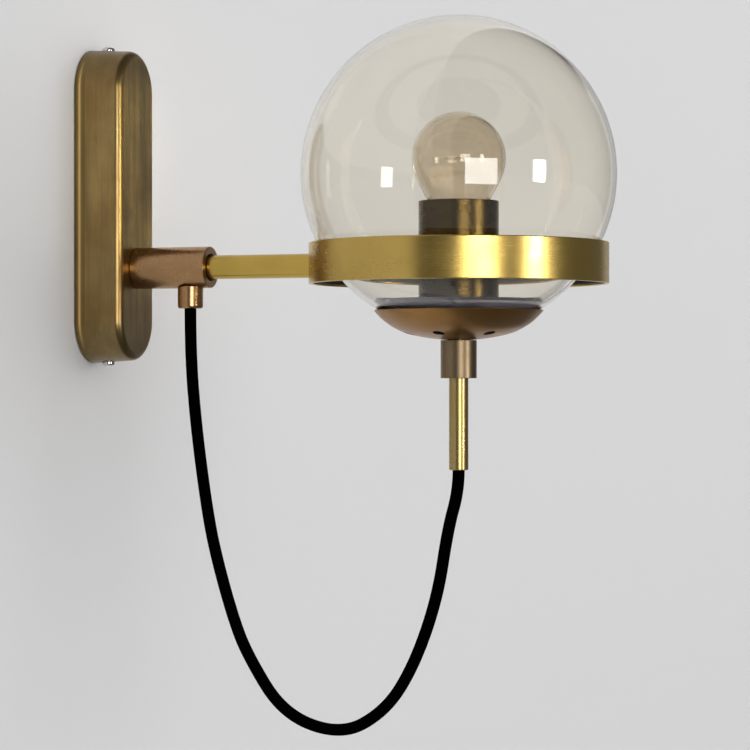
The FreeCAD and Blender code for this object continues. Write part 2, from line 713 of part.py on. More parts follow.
def hub_nipple():
    return on_arm(turned_tube("hub_nipple", "nipple_diameter / 2", "nipple_bore / 2",
                              "hub_nipple_end - hub_nipple_length", "hub_nipple_end"))


def hub_washer():
    return on_arm(turned_tube("hub_washer", "washer_diameter / 2", "nipple_way",
                              "washer_start - washer_sheet", "washer_start"))


def hub_nut():
    return on_arm(hexagon_nut("hub_nut", "washer_start - washer_sheet - hub_nut_height", "hub_nut_height"))


def lead_wires():
    """Two single wires from the cord's end, through the hub's nipple and up into the terminal block."""
    line = -value("arm_drop")
    bend_place = -value("grip_place")
    way = -value("bracket_sheet + block_depth / 2")
    block = value("block_rise")
    turn = value("wire_turn")
    wires = []
    for side in (-1, 1):
        inner = side * value("wire_spacing / 2")
        outer = side * value("block_pitch")
        route = [
            (vector(inner, bend_place, line - value("nipple_way")), None),
            (vector(inner, bend_place, line), value("wire_bend")),
            (vector(inner, way, line), turn),
            (vector(outer, way, block - turn), turn),
            (vector(outer, way, block + value("wire_entry")), None),
        ]
        wires.append(swept("lead wire", route, value("wire_diameter / 2")))
    return solid_feature("lead_wires", Part.Compound(wires))


# ---- arm ------------------------------------------------------------------------------------------------


def hub():
    """Turned hub: bored from the canopy for its nipple and from the front for the arm's."""
    body = turned("hub", [
        ("nipple_way", "canopy_depth"), ("hub_diameter / 2", "canopy_depth"),
        ("hub_diameter / 2", "hub_end - hub_edge"), ("hub_diameter / 2 - hub_edge", "hub_end"),
        ("hub_recess / 2", "hub_end"), ("hub_recess / 2", "arm_start"),
        ("nipple_way", "arm_start"), ("nipple_way", "arm_start - arm_nipple_engaged"),
        ("wire_bore / 2", "arm_start - arm_nipple_engaged"), ("wire_bore / 2", "hub_nipple_end"),
        ("nipple_way", "hub_nipple_end"),
    ])
    doc.recompute()
    side = new_sketch(body, "XZ_Plane", "hub_grip_hole")
    circle(side, "0", "grip_place", "grip_spigot / 2 + fit_gap")
    pocket(body, side, reverse=True)
    return on_arm(body)


def cord_grip():
    """Round boss under the hub, coped to it, with a neck in the hub's side and a way for the cord."""
    body = new_body("cord_grip")
    outside = new_sketch(body, "XZ_Plane", "grip_outside")
    outline(outside, [
        ("0", "-grip_bottom"), ("grip_diameter / 2 - grip_edge", "-grip_bottom"),
        ("grip_diameter / 2", "grip_edge - grip_bottom"), ("grip_diameter / 2", "-grip_top"),
        ("0", "-grip_top"),
    ], {1: ("grip_edge", 1)})
    revolve(body, outside)
    doc.recompute()
    cope = new_sketch(body, "XZ_Plane", "grip_cope")
    circle(cope, "0", "0", "hub_diameter / 2 + fit_gap")
    pocket(body, cope, both_ways=True)
    neck = new_sketch(body, "XZ_Plane", "grip_neck")
    rectangle(neck, "0", "grip_spigot / 2", "-hub_diameter / 2 - grip_edge", "-nipple_way")
    revolve(body, neck)
    way = new_sketch(body, "XZ_Plane", "grip_way")
    rectangle(way, "0", "cord_way", "-grip_bottom - grip_edge", "0")
    revolve(body, way, cut=True)
    return place(body, y="-grip_place", z="-arm_drop")


def cord_in_grip():
    body = turned("cord_in_grip", [
        ("0", "-grip_bottom"), ("cord_diameter / 2", "-grip_bottom"),
        ("cord_diameter / 2", "-nipple_way"), ("0", "-nipple_way"),
    ])
    return place(body, y="-grip_place", z="-arm_drop")


def arm_tube():
    """Tube from the hub's recess to the ring, coped to the ring's outside."""
    body = turned_tube("arm_tube", "arm_diameter / 2", "arm_bore", "arm_start", "arm_end + ring_wall * 2")
    doc.recompute()
    cope = new_sketch(body, "XZ_Plane", "arm_cope")
    circle(cope, "0", "axis_reach", "ring_outside + fit_gap")
    pocket(body, cope, both_ways=True)
    return on_arm(body)


def arm_nipple():
    low = "arm_start - arm_nipple_engaged"
    return on_arm(turned_tube("arm_nipple", "nipple_diameter / 2", "nipple_bore / 2",
                              low, low + " + arm_nipple_length"))


def arm_plug():
    """Plug in the arm's far end, tapped for the ring's screw and coped like the arm."""
    body = turned_tube("arm_plug", "arm_bore - fit_gap", "ring_screw / 2 + fit_gap",
                                           "arm_end - plug_length", "arm_end + ring_wall * 2")
    doc.recompute()
    cope = new_sketch(body, "XZ_Plane", "plug_cope")
    circle(cope, "0", "axis_reach", "ring_outside + fit_gap")
    pocket(body, cope, both_ways=True)
    return on_arm(body)


def ring_screw():
    """Countersunk screw from inside the ring into the arm's plug."""
    return on_arm(turned("ring_screw", [
        ("0", "ring_screw_start - ring_screw_length"),
        ("ring_screw / 2", "ring_screw_start - ring_screw_length"),
        ("ring_screw / 2", "ring_screw_start - ring_screw_head_height"),
        ("ring_screw_head / 2", "ring_screw_start - seat_gap"), ("0", "ring_screw_start - seat_gap"),
    ]))


def support_ring():
    """Flat hoop that carries the globe, countersunk inside for the arm's screw."""
    body = turned_tube("support_ring", "ring_outside", "ring_inside", "-ring_height / 2",
                                               "ring_height / 2")
    doc.recompute()
    hole = new_sketch(body, "XY_Plane", "ring_hole")
    outline(hole, [
        ("0", "ring_inside - ring_wall"), ("ring_screw_head / 2 + fit_gap", "ring_inside - ring_wall"),
        ("ring_screw_head / 2 + fit_gap", "ring_inside + seat_gap"),
        ("ring_screw / 2 + fit_gap", "ring_inside + ring_screw_head_height"),
        ("ring_screw / 2 + fit_gap", "ring_outside + ring_wall"), ("0", "ring_outside + ring_wall"),
    ])
    revolve(body, hole, cut=True)
    return place(body, y="-axis_reach", z="-arm_drop")


def ring_liner():
    """Soft strip inside the ring; the glass rests on its upper edge."""
    body = turned_tube("ring_liner", "ring_inside - fit_gap", "seat_radius",
                                             "liner_setback - ring_height / 2", "ring_height / 2")
    return place(body, y="-axis_reach", z="-arm_drop")


# ---- globe and its clamps -------------------------------------------------------------------------------


def glass_globe():
    opening = "globe_opening / 2"
    body = turned("glass_globe", [
        (opening, "-sqrt(globe_radius^2 - (globe_opening / 2)^2)"), ("0", "globe_radius"),
        ("0", "globe_inside"), (opening, "-sqrt(globe_inside^2 - (globe_opening / 2)^2)"),
    ], {0: ("globe_radius", 1), 2: ("globe_inside", -1)})
    return on_globe(body)


def bottom_cup():
    """Spun cup under the globe: a shallow bottom, a round side and holes over the clamp screws."""
    way = "nipple_way"
    body = turned("bottom_cup", [
        (way, "base_centre_z - sqrt(cup_base_curve^2 - nipple_way^2)"),
        ("cup_base_diameter / 2", "base_top"),
        ("cup_radius", "cup_rim"), ("cup_inner_rim", "cup_rim"),
        ("cup_base_diameter / 2 - cup_wall * base_sin", "base_top + cup_wall * base_cos"),
        (way, "base_centre_z - sqrt(cup_inner_base^2 - nipple_way^2)"),
    ], {0: ("cup_base_curve", 1), 1: ("cup_side_curve", 1), 3: ("cup_inner_side", -1),
        4: ("cup_inner_base", -1)})
    doc.recompute()
    hole = new_sketch(body, "XY_Plane", "cup_hole")
    circle(hole, "clamp_pitch_diameter / 2", "0", "access_hole / 2")
    cut = pocket(body, hole, both_ways=True)
    polar_pattern(body, [cut], CLAMPS * SCREWS_PER_CLAMP)
    return on_globe(body, value("clamp_first_angle") - 180 / (CLAMPS * SCREWS_PER_CLAMP))


def globe_gasket():
    """Soft wedge between the glass and the cup's rim."""
    return on_globe(turned("globe_gasket", [
        ("sqrt(gasket_sphere^2 - gasket_low^2)", "gasket_low"), ("gasket_low_out", "gasket_low"),
        ("gasket_top_out", "gasket_top"), ("sqrt(gasket_sphere^2 - gasket_top^2)", "gasket_top"),
    ], {1: ("gasket_side", 1), 3: ("gasket_sphere", -1)}))


def glass_clamp(number):
    """Bent segment: its lip holds the glass from inside, its foot takes two screws below the opening."""
    name = "glass_clamp_%d" % (number + 1)
    body = new_body(name)
    sketch = new_sketch(body, "XZ_Plane", name + "_profile")
    outline(sketch, [
        ("clamp_inside / 2", "foot_low"), ("leg_r", "foot_low"),
        ("leg_r", "-sqrt(lip_sphere^2 - leg_r^2)"), ("lip_r", "lip_z"),
        ("lip_r * lip_scale", "lip_z * lip_scale"),
        ("leg_inside", "-sqrt(lip_inner_sphere^2 - leg_inside^2)"),
        ("leg_inside", "foot_top"), ("clamp_inside / 2", "foot_top"),
    ], {2: ("lip_sphere", 1), 4: ("lip_inner_sphere", -1)})
    revolve(body, sketch, angle="clamp_angle")
    doc.recompute()
    holes = new_sketch(body, "XY_Plane", name + "_holes")
    for side in ("", "-"):
        half_step = "180 deg / %d" % (CLAMPS * SCREWS_PER_CLAMP)
        circle(holes, "clamp_pitch_diameter / 2 * cos(%s)" % half_step,
               "%sclamp_pitch_diameter / 2 * sin(%s)" % (side, half_step), "clamp_screw / 2 + fit_gap")
    pocket(body, holes, both_ways=True)
    return on_globe(body, value("clamp_first_angle") + 360 / CLAMPS * number)


def clamp_gasket():
    """Thin strip between the glass and the clamps' lips."""
    edge = "clamp_gasket_inside / 2"
    return on_globe(turned("clamp_gasket", [
        (edge, "-sqrt(strip_sphere^2 - (clamp_gasket_inside / 2)^2)"),
        ("lip_r", "-sqrt(strip_sphere^2 - lip_r^2)"),
        ("lip_r", "-sqrt((lip_sphere + fit_gap)^2 - lip_r^2)"),
        (edge, "-sqrt((lip_sphere + fit_gap)^2 - (clamp_gasket_inside / 2)^2)"),
    ], {0: ("strip_sphere", 1), 2: ("lip_sphere + fit_gap", -1)}))


def clamp_screws():
    """Cheese-head screws, two for each clamp, from below through the carrier plate."""
    body = new_body("clamp_screws")
    head = new_sketch(body, "XY_Plane", "clamp_screw_heads", "carrier_low - clamp_screw_head_height")
    circle(head, "clamp_pitch_diameter / 2", "0", "clamp_screw_head / 2")
    head_pad = pad(body, head, "clamp_screw_head_height")
    shank = new_sketch(body, "XY_Plane", "clamp_screw_shanks", "carrier_low")
    circle(shank, "clamp_pitch_diameter / 2", "0", "clamp_screw / 2")
    shank_pad = pad(body, shank, "clamp_screw_length")
    doc.recompute()
    polar_pattern(body, [head_pad, shank_pad], CLAMPS * SCREWS_PER_CLAMP)
    return on_globe(body, value("clamp_first_angle") - 180 / (CLAMPS * SCREWS_PER_CLAMP))


def carrier_plate():
    """Plate under the lampholder that the clamps are drawn down to."""
    body = turned_tube("carrier_plate", "carrier_diameter / 2", "nipple_way", "carrier_low", "carrier_top")
    doc.recompute()
    hole = new_sketch(body, "XY_Plane", "carrier_hole")
    circle(hole, "clamp_pitch_diameter / 2", "0", "clamp_screw / 2 + screw_gap")
    cut = pocket(body, hole, both_ways=True)
    polar_pattern(body, [cut], CLAMPS * SCREWS_PER_CLAMP)
    return on_globe(body, value("clamp_first_angle") - 180 / (CLAMPS * SCREWS_PER_CLAMP))


def cup_spacer():
    return on_globe(turned_tube("cup_spacer", "spacer_diameter / 2", "nipple_way", "spacer_low",
                                                      "carrier_low"))


# ---- lampholder and stem --------------------------------------------------------------------------------


def holder_sleeve():
    """Drawn sleeve round the lampholder, with a floor on the carrier plate."""
    outside = "holder_diameter / 2"
    inside = "holder_diameter / 2 - holder_wall"
    return on_globe(turned("holder_sleeve", [
        ("nipple_way", "holder_low"), (outside, "holder_low"), (outside, "holder_top"),
        (inside, "holder_top"), (inside, "holder_floor"), ("nipple_way", "holder_floor"),
    ]))


def holder_nut():
    return on_globe(hexagon_nut("holder_nut", "holder_floor", "holder_nut_height"))


def socket_body():
    """Porcelain insert: a well for the lamp cap over a foot that is threaded for the nipple."""
    outside = "porcelain_diameter / 2"
    foot = "porcelain_foot / 2"
    return on_globe(turned("socket_body", [
        ("nipple_way", "porcelain_low"), (foot, "porcelain_low"),
        (foot, "porcelain_top - porcelain_shoulder"), (outside, "porcelain_top - porcelain_shoulder"),
        (outside, "porcelain_top"), ("porcelain_bore / 2", "porcelain_top"),
        ("porcelain_bore / 2", "well_floor"), ("cord_way", "well_floor"),
        ("cord_way", "centre_nipple_top"), ("nipple_way", "centre_nipple_top"),
    ]))


def socket_shell():
    return on_globe(turned_tube("socket_shell", "shell_outside", "shell_inside", "cap_low", "shell_top"))


def socket_contact():
    """Domed contact on the floor of the well, below the lamp's."""
    return on_globe(turned("socket_contact", [
        ("0", "well_floor"), ("contact_diameter / 2", "well_floor"),
        ("contact_diameter / 2", "contact_top"), ("0", "contact_top"),
    ]))


def centre_nipple():
    return on_globe(turned_tube("centre_nipple", "nipple_diameter / 2", "nipple_bore / 2",
                                                         "centre_nipple_low", "centre_nipple_top"))


def collar():
    """Turned collar: threaded on the nipple above, with a socket for the stem below."""
    outside = "collar_diameter / 2"
    return on_globe(turned("collar", [
        ("stem_diameter / 2 + fit_gap", "collar_low"), (outside + " - collar_edge", "collar_low"),
        (outside, "collar_low + collar_edge"), (outside, "cup_bottom - collar_edge"),
        (outside + " - collar_edge", "cup_bottom"), ("nipple_way", "cup_bottom"),
        ("nipple_way", "centre_nipple_low"), ("stem_bore / 2", "centre_nipple_low"),
        ("stem_bore / 2", "collar_low + stem_socket_depth"),
        ("stem_diameter / 2 + fit_gap", "collar_low + stem_socket_depth"),
    ]))


def stem_tube():
    return on_globe(turned_tube("stem_tube", "stem_diameter / 2", "stem_bore / 2", "stem_low", "stem_top"))


def cord_in_stem():
    return on_globe(turned("cord_in_stem", [
        ("0", "stem_low"), ("cord_diameter / 2", "stem_low"),
        ("cord_diameter / 2", "stem_low + cord_rise"), ("0", "stem_low + cord_rise"),
    ]))


def cord():
    """The free cord between the grip and the stem."""
    points = [vector(0, -out, up) for out, up in CORD_POINTS]
    return solid_feature("cord", swept("cord", cord_route(points), value("cord_diameter / 2")))


# ---- bulb -----------------------------------------------------------------------------------------------


def bulb_glass():
    """Small round bulb whose taper runs into the neck."""
    return on_globe(turned("bulb_glass", [
        ("neck_r", "cap_top"), ("neck_r", "neck_top"),
        ("bulb_radius * flare_cos", "bulb_z - bulb_radius * flare_sin"), ("0", "bulb_z + bulb_radius"),
        ("0", "bulb_z + bulb_inner"), ("bulb_inner * flare_cos", "bulb_z - bulb_inner * flare_sin"),
        ("neck_inner", "neck_top"), ("neck_inner", "cap_top"),
    ], {2: ("bulb_radius", 1), 4: ("bulb_inner", -1)}))


def bulb_cap():
    return on_globe(turned_tube("bulb_cap", "cap_diameter / 2", "cap_diameter / 2 - cap_wall", "cap_low",
                                                    "cap_top"))


def bulb_insulator():
    return on_globe(turned("bulb_insulator", [
        ("0", "tip_top"), ("insulator_small / 2", "tip_top"),
        ("cap_diameter / 2", "cap_low"), ("0", "cap_low"),
    ]))


def bulb_contact():
    return on_globe(turned("bulb_contact", [
        ("0", "tip_low"), ("contact_diameter / 2", "tip_low"),
        ("contact_diameter / 2", "tip_top"), ("0", "tip_top"),
    ]))


def bulb_mount():
    """Flared glass post that carries the filament."""
    return on_globe(turned("bulb_mount", [
        ("0", "cap_top"), ("neck_inner - fit_gap", "cap_top"),
        ("neck_inner - fit_gap", "cap_top + bulb_wall"),
        ("mount_post / 2", "neck_top"), ("mount_post / 2", "bulb_z + filament_wire"),
        ("0", "bulb_z + filament_wire"),
    ]))


def bulb_filament():
    """Open hoop round the post, on two wires that pass through it."""
    hoop = doc.addObject("Part::Torus", "filament_hoop")
    hoop.setExpression("Radius1", expression("filament_diameter / 2"))
    hoop.setExpression("Radius2", expression("filament_wire / 2"))
    hoop.setExpression("Angle3", expression("filament_angle * 1 deg"))
    opening = 180 - value("filament_angle") / 2
    hoop.Placement = FreeCAD.Placement(vector(0, 0), FreeCAD.Rotation(vector(0, 0, 1), opening))
    wires = []
    for name, turn in (("filament_wire_left", -90), ("filament_wire_right", 90)):
        wire = doc.addObject("Part::Cylinder", name)
        wire.setExpression("Radius", expression("filament_wire / 2"))
        wire.setExpression("Height", expression("filament_diameter / 2 - mount_post / 2 - fit_gap"))
        wire.Placement = FreeCAD.Placement(vector(0, 0), FreeCAD.Rotation(vector(1, 0, 0), turn))
        side = "-1" if turn > 0 else "1"
        wire.setExpression("Placement.Base.y", expression(side + " * (mount_post / 2 + fit_gap)"))
        wires.append(wire)
    filament = doc.addObject("Part::MultiFuse", "bulb_filament")
    filament.Label = "bulb_filament"
    filament.Shapes = [hoop] + wires
    return place(filament, y="-axis_reach", z="globe_z + bulb_z")


# ---- the whole ------------------------------------------------------------------------------------------

CLAMPS = 3
SCREWS_PER_CLAMP = 2

MAKERS = [
    canopy_cover, wall_bracket, canopy_screws, earth_screw, terminal_block, lead_wires, hub, hub_nipple,
    hub_washer, hub_nut, cord_grip, cord_in_grip, arm_tube, arm_nipple, arm_plug, ring_screw, support_ring,
    ring_liner, glass_globe, bottom_cup, globe_gasket, clamp_gasket, clamp_screws, carrier_plate, cup_spacer,
    holder_sleeve, holder_nut, socket_body, socket_shell, socket_contact, centre_nipple, collar, stem_tube,
    cord_in_stem, cord, bulb_glass, bulb_cap, bulb_insulator, bulb_contact, bulb_mount, bulb_filament,
]


def main():
    pieces = [make() for make in MAKERS] + [glass_clamp(number) for number in range(CLAMPS)]
    doc.recompute()
    for item in doc.Objects:
        if "Invalid" in item.State or "Error" in item.State:
            raise ValueError("%s: %s" % (item.Label, item.State))
    for piece in pieces:
        if piece.Shape.isNull() or not piece.Shape.isValid():
            raise ValueError("%s has no valid shape" % piece.Label)
    for piece in pieces:
        piece.Shape.exportStep("parts/%s.step" % piece.Label)
    print("%d nodes" % len(pieces))


main()
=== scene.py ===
import math

import bmesh
import bpy
from bpy.props import FloatProperty, FloatVectorProperty, PointerProperty
from mathutils import Matrix, Vector


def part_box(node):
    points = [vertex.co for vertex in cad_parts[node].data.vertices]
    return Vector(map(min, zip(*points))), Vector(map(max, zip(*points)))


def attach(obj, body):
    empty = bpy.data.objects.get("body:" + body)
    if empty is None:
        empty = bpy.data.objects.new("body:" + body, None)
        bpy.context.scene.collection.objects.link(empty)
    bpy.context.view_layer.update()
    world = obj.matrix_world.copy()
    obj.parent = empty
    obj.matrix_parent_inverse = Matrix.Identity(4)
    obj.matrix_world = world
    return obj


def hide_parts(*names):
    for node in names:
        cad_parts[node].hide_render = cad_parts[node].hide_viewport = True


bl_info = {
    "name": "Globe wall sconce",
    "version": (1, 0, 0),
    "blender": (4, 5, 0),
    "location": "3D View > Sidebar > Sconce",
    "description": "Finishes a brass wall sconce with a glass globe: smooth pieces, metals, glass and cord",
    "category": "Object",
}

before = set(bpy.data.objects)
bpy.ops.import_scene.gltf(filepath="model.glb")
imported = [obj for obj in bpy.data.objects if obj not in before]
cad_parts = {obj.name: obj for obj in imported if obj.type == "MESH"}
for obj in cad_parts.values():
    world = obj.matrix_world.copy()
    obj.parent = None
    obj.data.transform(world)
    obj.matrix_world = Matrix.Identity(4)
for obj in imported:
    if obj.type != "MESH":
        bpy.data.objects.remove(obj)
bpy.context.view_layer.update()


def rotation(degrees, axis):
    return Matrix.Rotation(math.radians(degrees), 4, axis)


# The lamp's own line stands through the globe's centre, the arm's line runs square to the wall.
GLOBE = Vector((0.0, -0.191, 0.0114))
ON_GLOBE = Matrix.Translation(GLOBE)
ON_ARM = Matrix.Translation((0.0, 0.0, -0.031)) @ rotation(90.0, "X")
ON_GRIP = Matrix.Translation((0.0, -0.0525, 0.0))
FULL_TURN = 2.0 * math.pi

# Control points of the cord: distance from the wall and height, in metres.
CORD_ROUTE = [
    (0.0525, -0.0512),
    (0.0525, -0.0736),
    (0.0555, -0.1087),
    (0.0613, -0.1495),
    (0.0660, -0.1719),
    (0.0751, -0.2024),
    (0.0828, -0.2207),
    (0.1017, -0.2489),
    (0.1318, -0.2577),
    (0.1540, -0.2451),
    (0.1681, -0.2239),
    (0.1803, -0.1908),
    (0.1857, -0.1568),
    (0.1910, -0.1385),
    (0.1910, -0.1290),
]


def size(title, default, note):
    return FloatProperty(name=title, description=note, default=default, unit="LENGTH", precision=5)


def colour(title, default, note):
    return FloatVectorProperty(
        name=title, description=note, default=default, size=3, subtype="COLOR", min=0.0, max=1.0
    )


class SconceSizes(bpy.types.PropertyGroup):
    """Sizes of the pieces, in metres."""

    canopy_height: size("Canopy height", 0.156, "Rear outline of the wall plate, top to bottom")
    canopy_width: size("Canopy width", 0.043, "Rear outline of the wall plate, side to side")
    canopy_depth: size("Canopy depth", 0.024, "Wall to the front face")
    canopy_lean: size("Canopy lean", 0.00147, "How far the side wall leans in at the front")
    canopy_edge: size("Canopy edge", 0.0036, "Rounding of the front edge")
    canopy_wall: size("Canopy wall", 0.0015, "Sheet of the wall plate")
    hub_radius: size("Hub radius", 0.0102, "Round block that carries the arm")
    hub_end: size("Hub end", 0.0635, "Front face of the hub, from the wall")
    hub_recess: size("Hub recess", 0.0066, "Radius of the recess round the arm")
    arm_radius: size("Arm radius", 0.00585, "Tube between the hub and the ring")
    arm_wall: size("Arm wall", 0.0008, "Wall of the arm's tube")
    grip_radius: size("Grip radius", 0.00625, "Cord grip under the hub")
    ring_outside: size("Ring radius", 0.07117, "Outside of the support ring")
    ring_inside: size("Ring inside", 0.06917, "Inside of the support ring")
    ring_low: size("Ring low", -0.05215, "Ring's lower edge from the globe's centre")
    ring_high: size("Ring high", -0.03265, "Ring's upper edge from the globe's centre")
    globe_radius: size("Globe radius", 0.075, "Outside of the glass globe")
    globe_wall: size("Globe wall", 0.002, "Wall of the glass globe")
    globe_opening: size("Globe opening", 0.031, "Radius of the opening at the bottom of the glass")
    bulb_radius: size("Bulb radius", 0.0224, "Outside of the bulb")
    bulb_wall: size("Bulb wall", 0.0008, "Wall of the bulb")
    bulb_height: size("Bulb height", 0.00727, "Bulb's centre from the globe's centre")
    cup_radius: size("Cup radius", 0.0404, "Rim of the cup under the globe")
    cup_wall: size("Cup wall", 0.0013, "Sheet of the cup")
    cup_rim: size("Cup rim", -0.06448, "Cup's rim from the globe's centre")
    cup_bottom: size("Cup bottom", -0.07883, "Cup's lowest point from the globe's centre")
    sleeve_radius: size("Sleeve radius", 0.01905, "Outside of the lampholder's sleeve")
    sleeve_wall: size("Sleeve wall", 0.0015, "Wall of the lampholder's sleeve")
    sleeve_low: size("Sleeve low", -0.07133, "Sleeve's floor from the globe's centre")
    sleeve_high: size("Sleeve high", -0.01283, "Sleeve's rim from the globe's centre")
    collar_radius: size("Collar radius", 0.0086, "Collar under the cup")
    collar_length: size("Collar length", 0.018, "Collar under the cup")
    stem_radius: size("Stem radius", 0.0046, "Stem under the collar")
    stem_length: size("Stem length", 0.05, "Whole stem, with its end in the collar")
    cord_width: size("Cord diameter", 0.0058, "Outside of the cord")
    cord_length: size("Cord length", 0.385, "Cord from the grip to the stem")


class SconceFinishes(bpy.types.PropertyGroup):
    """Colours of the finishes, as linear values."""

    canopy: colour("Canopy brass", (0.47, 0.33, 0.125), "Brushed antique brass of the wall plate")
    copper: colour("Hub brass", (0.46, 0.27, 0.13), "Warm bronze of the hub and the cord grip")
    arm: colour("Arm brass", (0.60, 0.41, 0.095), "Satin brass of the arm")
    ring: colour("Ring brass", (0.61, 0.42, 0.115), "Golden satin of the support ring")
    cup: colour("Cup brass", (0.35, 0.185, 0.060), "Satin brown brass of the cup")
    collar: colour("Collar bronze", (0.235, 0.17, 0.10), "Darker bronze of the collar")
    stem: colour("Stem brass", (0.41, 0.30, 0.12), "Polished yellow brass of the stem")
    sleeve: colour("Sleeve bronze", (0.068, 0.045, 0.014), "Dark bronze of the lampholder's sleeve")
    globe: colour("Globe glass", (0.978, 0.951, 0.888), "Champagne tint of the globe")
    bulb: colour("Bulb glass", (0.872, 0.808, 0.71), "Smoky tint of the bulb")
    cord: colour("Cord black", (0.0008, 0.0007, 0.0007), "Sheath of the cord")


class SconceStudio(bpy.types.PropertyGroup):
    """The camera's place, the wall and the floor."""

    camera_place: FloatVectorProperty(
        name="Camera place", description="Where the camera stands", default=(-1.1369, -0.5504, -0.0839),
        size=3, subtype="TRANSLATION",
    )
    camera_turn: FloatProperty(
        name="Camera turn", description="Heading of the level camera", default=math.radians(-70.55),
        subtype="ANGLE",
    )
    lens: FloatProperty(name="Lens", description="Focal length in millimetres", default=120.6, min=20.0)
    wall: colour("Wall colour", (0.66, 0.66, 0.665), "Plain grey wall behind the sconce")
    floor: colour("Floor colour", (0.72, 0.72, 0.72), "Plain pale floor")
    floor_height: size("Floor height", -0.75, "Height of the floor")


def sizes():
    return bpy.context.scene.sconce_sizes


def finishes():
    return bpy.context.scene.sconce_finishes


# ---- mesh helpers -----------------------------------------------------------------------------------


# Edges that turn by more than this, in degrees, are softened.
SHARP_TURN = 28.0


class Outline:
    """A chain of edges in the plane of radius and height, which is turned into a round piece."""

    def __init__(self, radius, height):
        self.mesh = bmesh.new()
        self.first = self.mesh.verts.new((radius, 0.0, height))
        self.last = self.first

    def lines(self, *corners):
        """Straight edges to each of the corners, given as radius and height."""
        for radius, height in corners:
            tip = self.mesh.verts.new((radius, 0.0, height))
            self.mesh.edges.new((self.last, tip))
            self.last = tip
        return self

    def arc(self, centre, degrees, steps):
        """Carries the chain round a centre, clockwise where the degrees are positive."""
        made = bmesh.ops.spin(
            self.mesh, geom=[self.last], cent=(centre[0], 0.0, centre[1]), axis=(0.0, 1.0, 0.0),
            angle=math.radians(degrees), steps=steps,
        )
        self.last = [item for item in made["geom_last"] if isinstance(item, bmesh.types.BMVert)][0]
        return self

    def close(self):
        self.mesh.edges.new((self.last, self.first))
        return self

    def turned(self, place, edge=0.0, steps=96, edge_steps=3):
        """The chain spun round its own upright line, its sharp edges softened, and put in its place."""
        bmesh.ops.spin(
            self.mesh, geom=self.mesh.verts[:] + self.mesh.edges[:], cent=(0.0, 0.0, 0.0),
            axis=(0.0, 0.0, 1.0), angle=FULL_TURN, steps=steps, use_merge=True,
        )
        bmesh.ops.remove_doubles(self.mesh, verts=self.mesh.verts, dist=1e-6)
        bmesh.ops.recalc_face_normals(self.mesh, faces=self.mesh.faces)
        if edge > 0.0:
            limit = math.radians(SHARP_TURN)
            sharp = [line for line in self.mesh.edges if line.is_manifold and line.calc_face_angle() > limit]
            bevel(self.mesh, sharp, edge, edge_steps)
        bmesh.ops.transform(self.mesh, matrix=place, verts=self.mesh.verts)
        return self.mesh


def tube(inside, outside, low, high):
    """The outline of a plain tube between two heights."""
    return Outline(inside, low).lines((outside, low), (outside, high), (inside, high)).close()


def bevel(mesh, edges, width, steps):
    bmesh.ops.bevel(
        mesh, geom=edges, offset=width, offset_type="OFFSET", segments=steps, profile=0.5, affect="EDGES",
        material=-1, clamp_overlap=True,
    )


def finished(name, mesh, material, node, body="fixture", sharp=35.0):
    """The mesh as a smooth object with its finish, its body and the CAD node it stands for."""
    data = bpy.data.meshes.new(name)
    for face in mesh.faces:
        face.smooth = True
    mesh.to_mesh(data)
    mesh.free()
    data.set_sharp_from_angle(angle=math.radians(sharp))
    piece = bpy.data.objects.new(name, data)
    bpy.context.scene.collection.objects.link(piece)
    data.materials.append(finish(material))
    even = piece.modifiers.new("even shading", "WEIGHTED_NORMAL")
    even.keep_sharp = True
    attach(piece, body)
    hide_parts(node)
    return piece


def merged_copy(node):
    """A CAD node's mesh as a bmesh with its loose triangles joined."""
    mesh = bmesh.new()
    mesh.from_mesh(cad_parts[node].data)
    bmesh.ops.remove_doubles(mesh, verts=mesh.verts, dist=2e-6)
    bmesh.ops.dissolve_degenerate(mesh, edges=mesh.edges, dist=1e-6)
    return mesh


def plain_object(name, mesh):
    """A bmesh as an object in the scene, still without a finish and a body."""
    data = bpy.data.meshes.new(name)
    mesh.to_mesh(data)
    mesh.free()
    made = bpy.data.objects.new(name, data)
    bpy.context.scene.collection.objects.link(made)
    return made


def cut(mesh, cutters):
    """The mesh with other closed meshes taken out of it."""
    holder = plain_object("cut body", mesh)
    tools = [plain_object("cutter", cutter) for cutter in cutters]
    for tool in tools:
        taken = holder.modifiers.new("cut", "BOOLEAN")
        taken.operation = "DIFFERENCE"
        taken.solver = "EXACT"
        taken.object = tool
    graph = bpy.context.evaluated_depsgraph_get()
    result = bpy.data.meshes.new_from_object(holder.evaluated_get(graph))
    out = bmesh.new()
    out.from_mesh(result)
    for tool in tools + [holder]:
        data = tool.data
        bpy.data.objects.remove(tool)
        bpy.data.meshes.remove(data)
    bpy.data.meshes.remove(result)
    return out


# ---- materials --------------------------------------------------------------------------------------


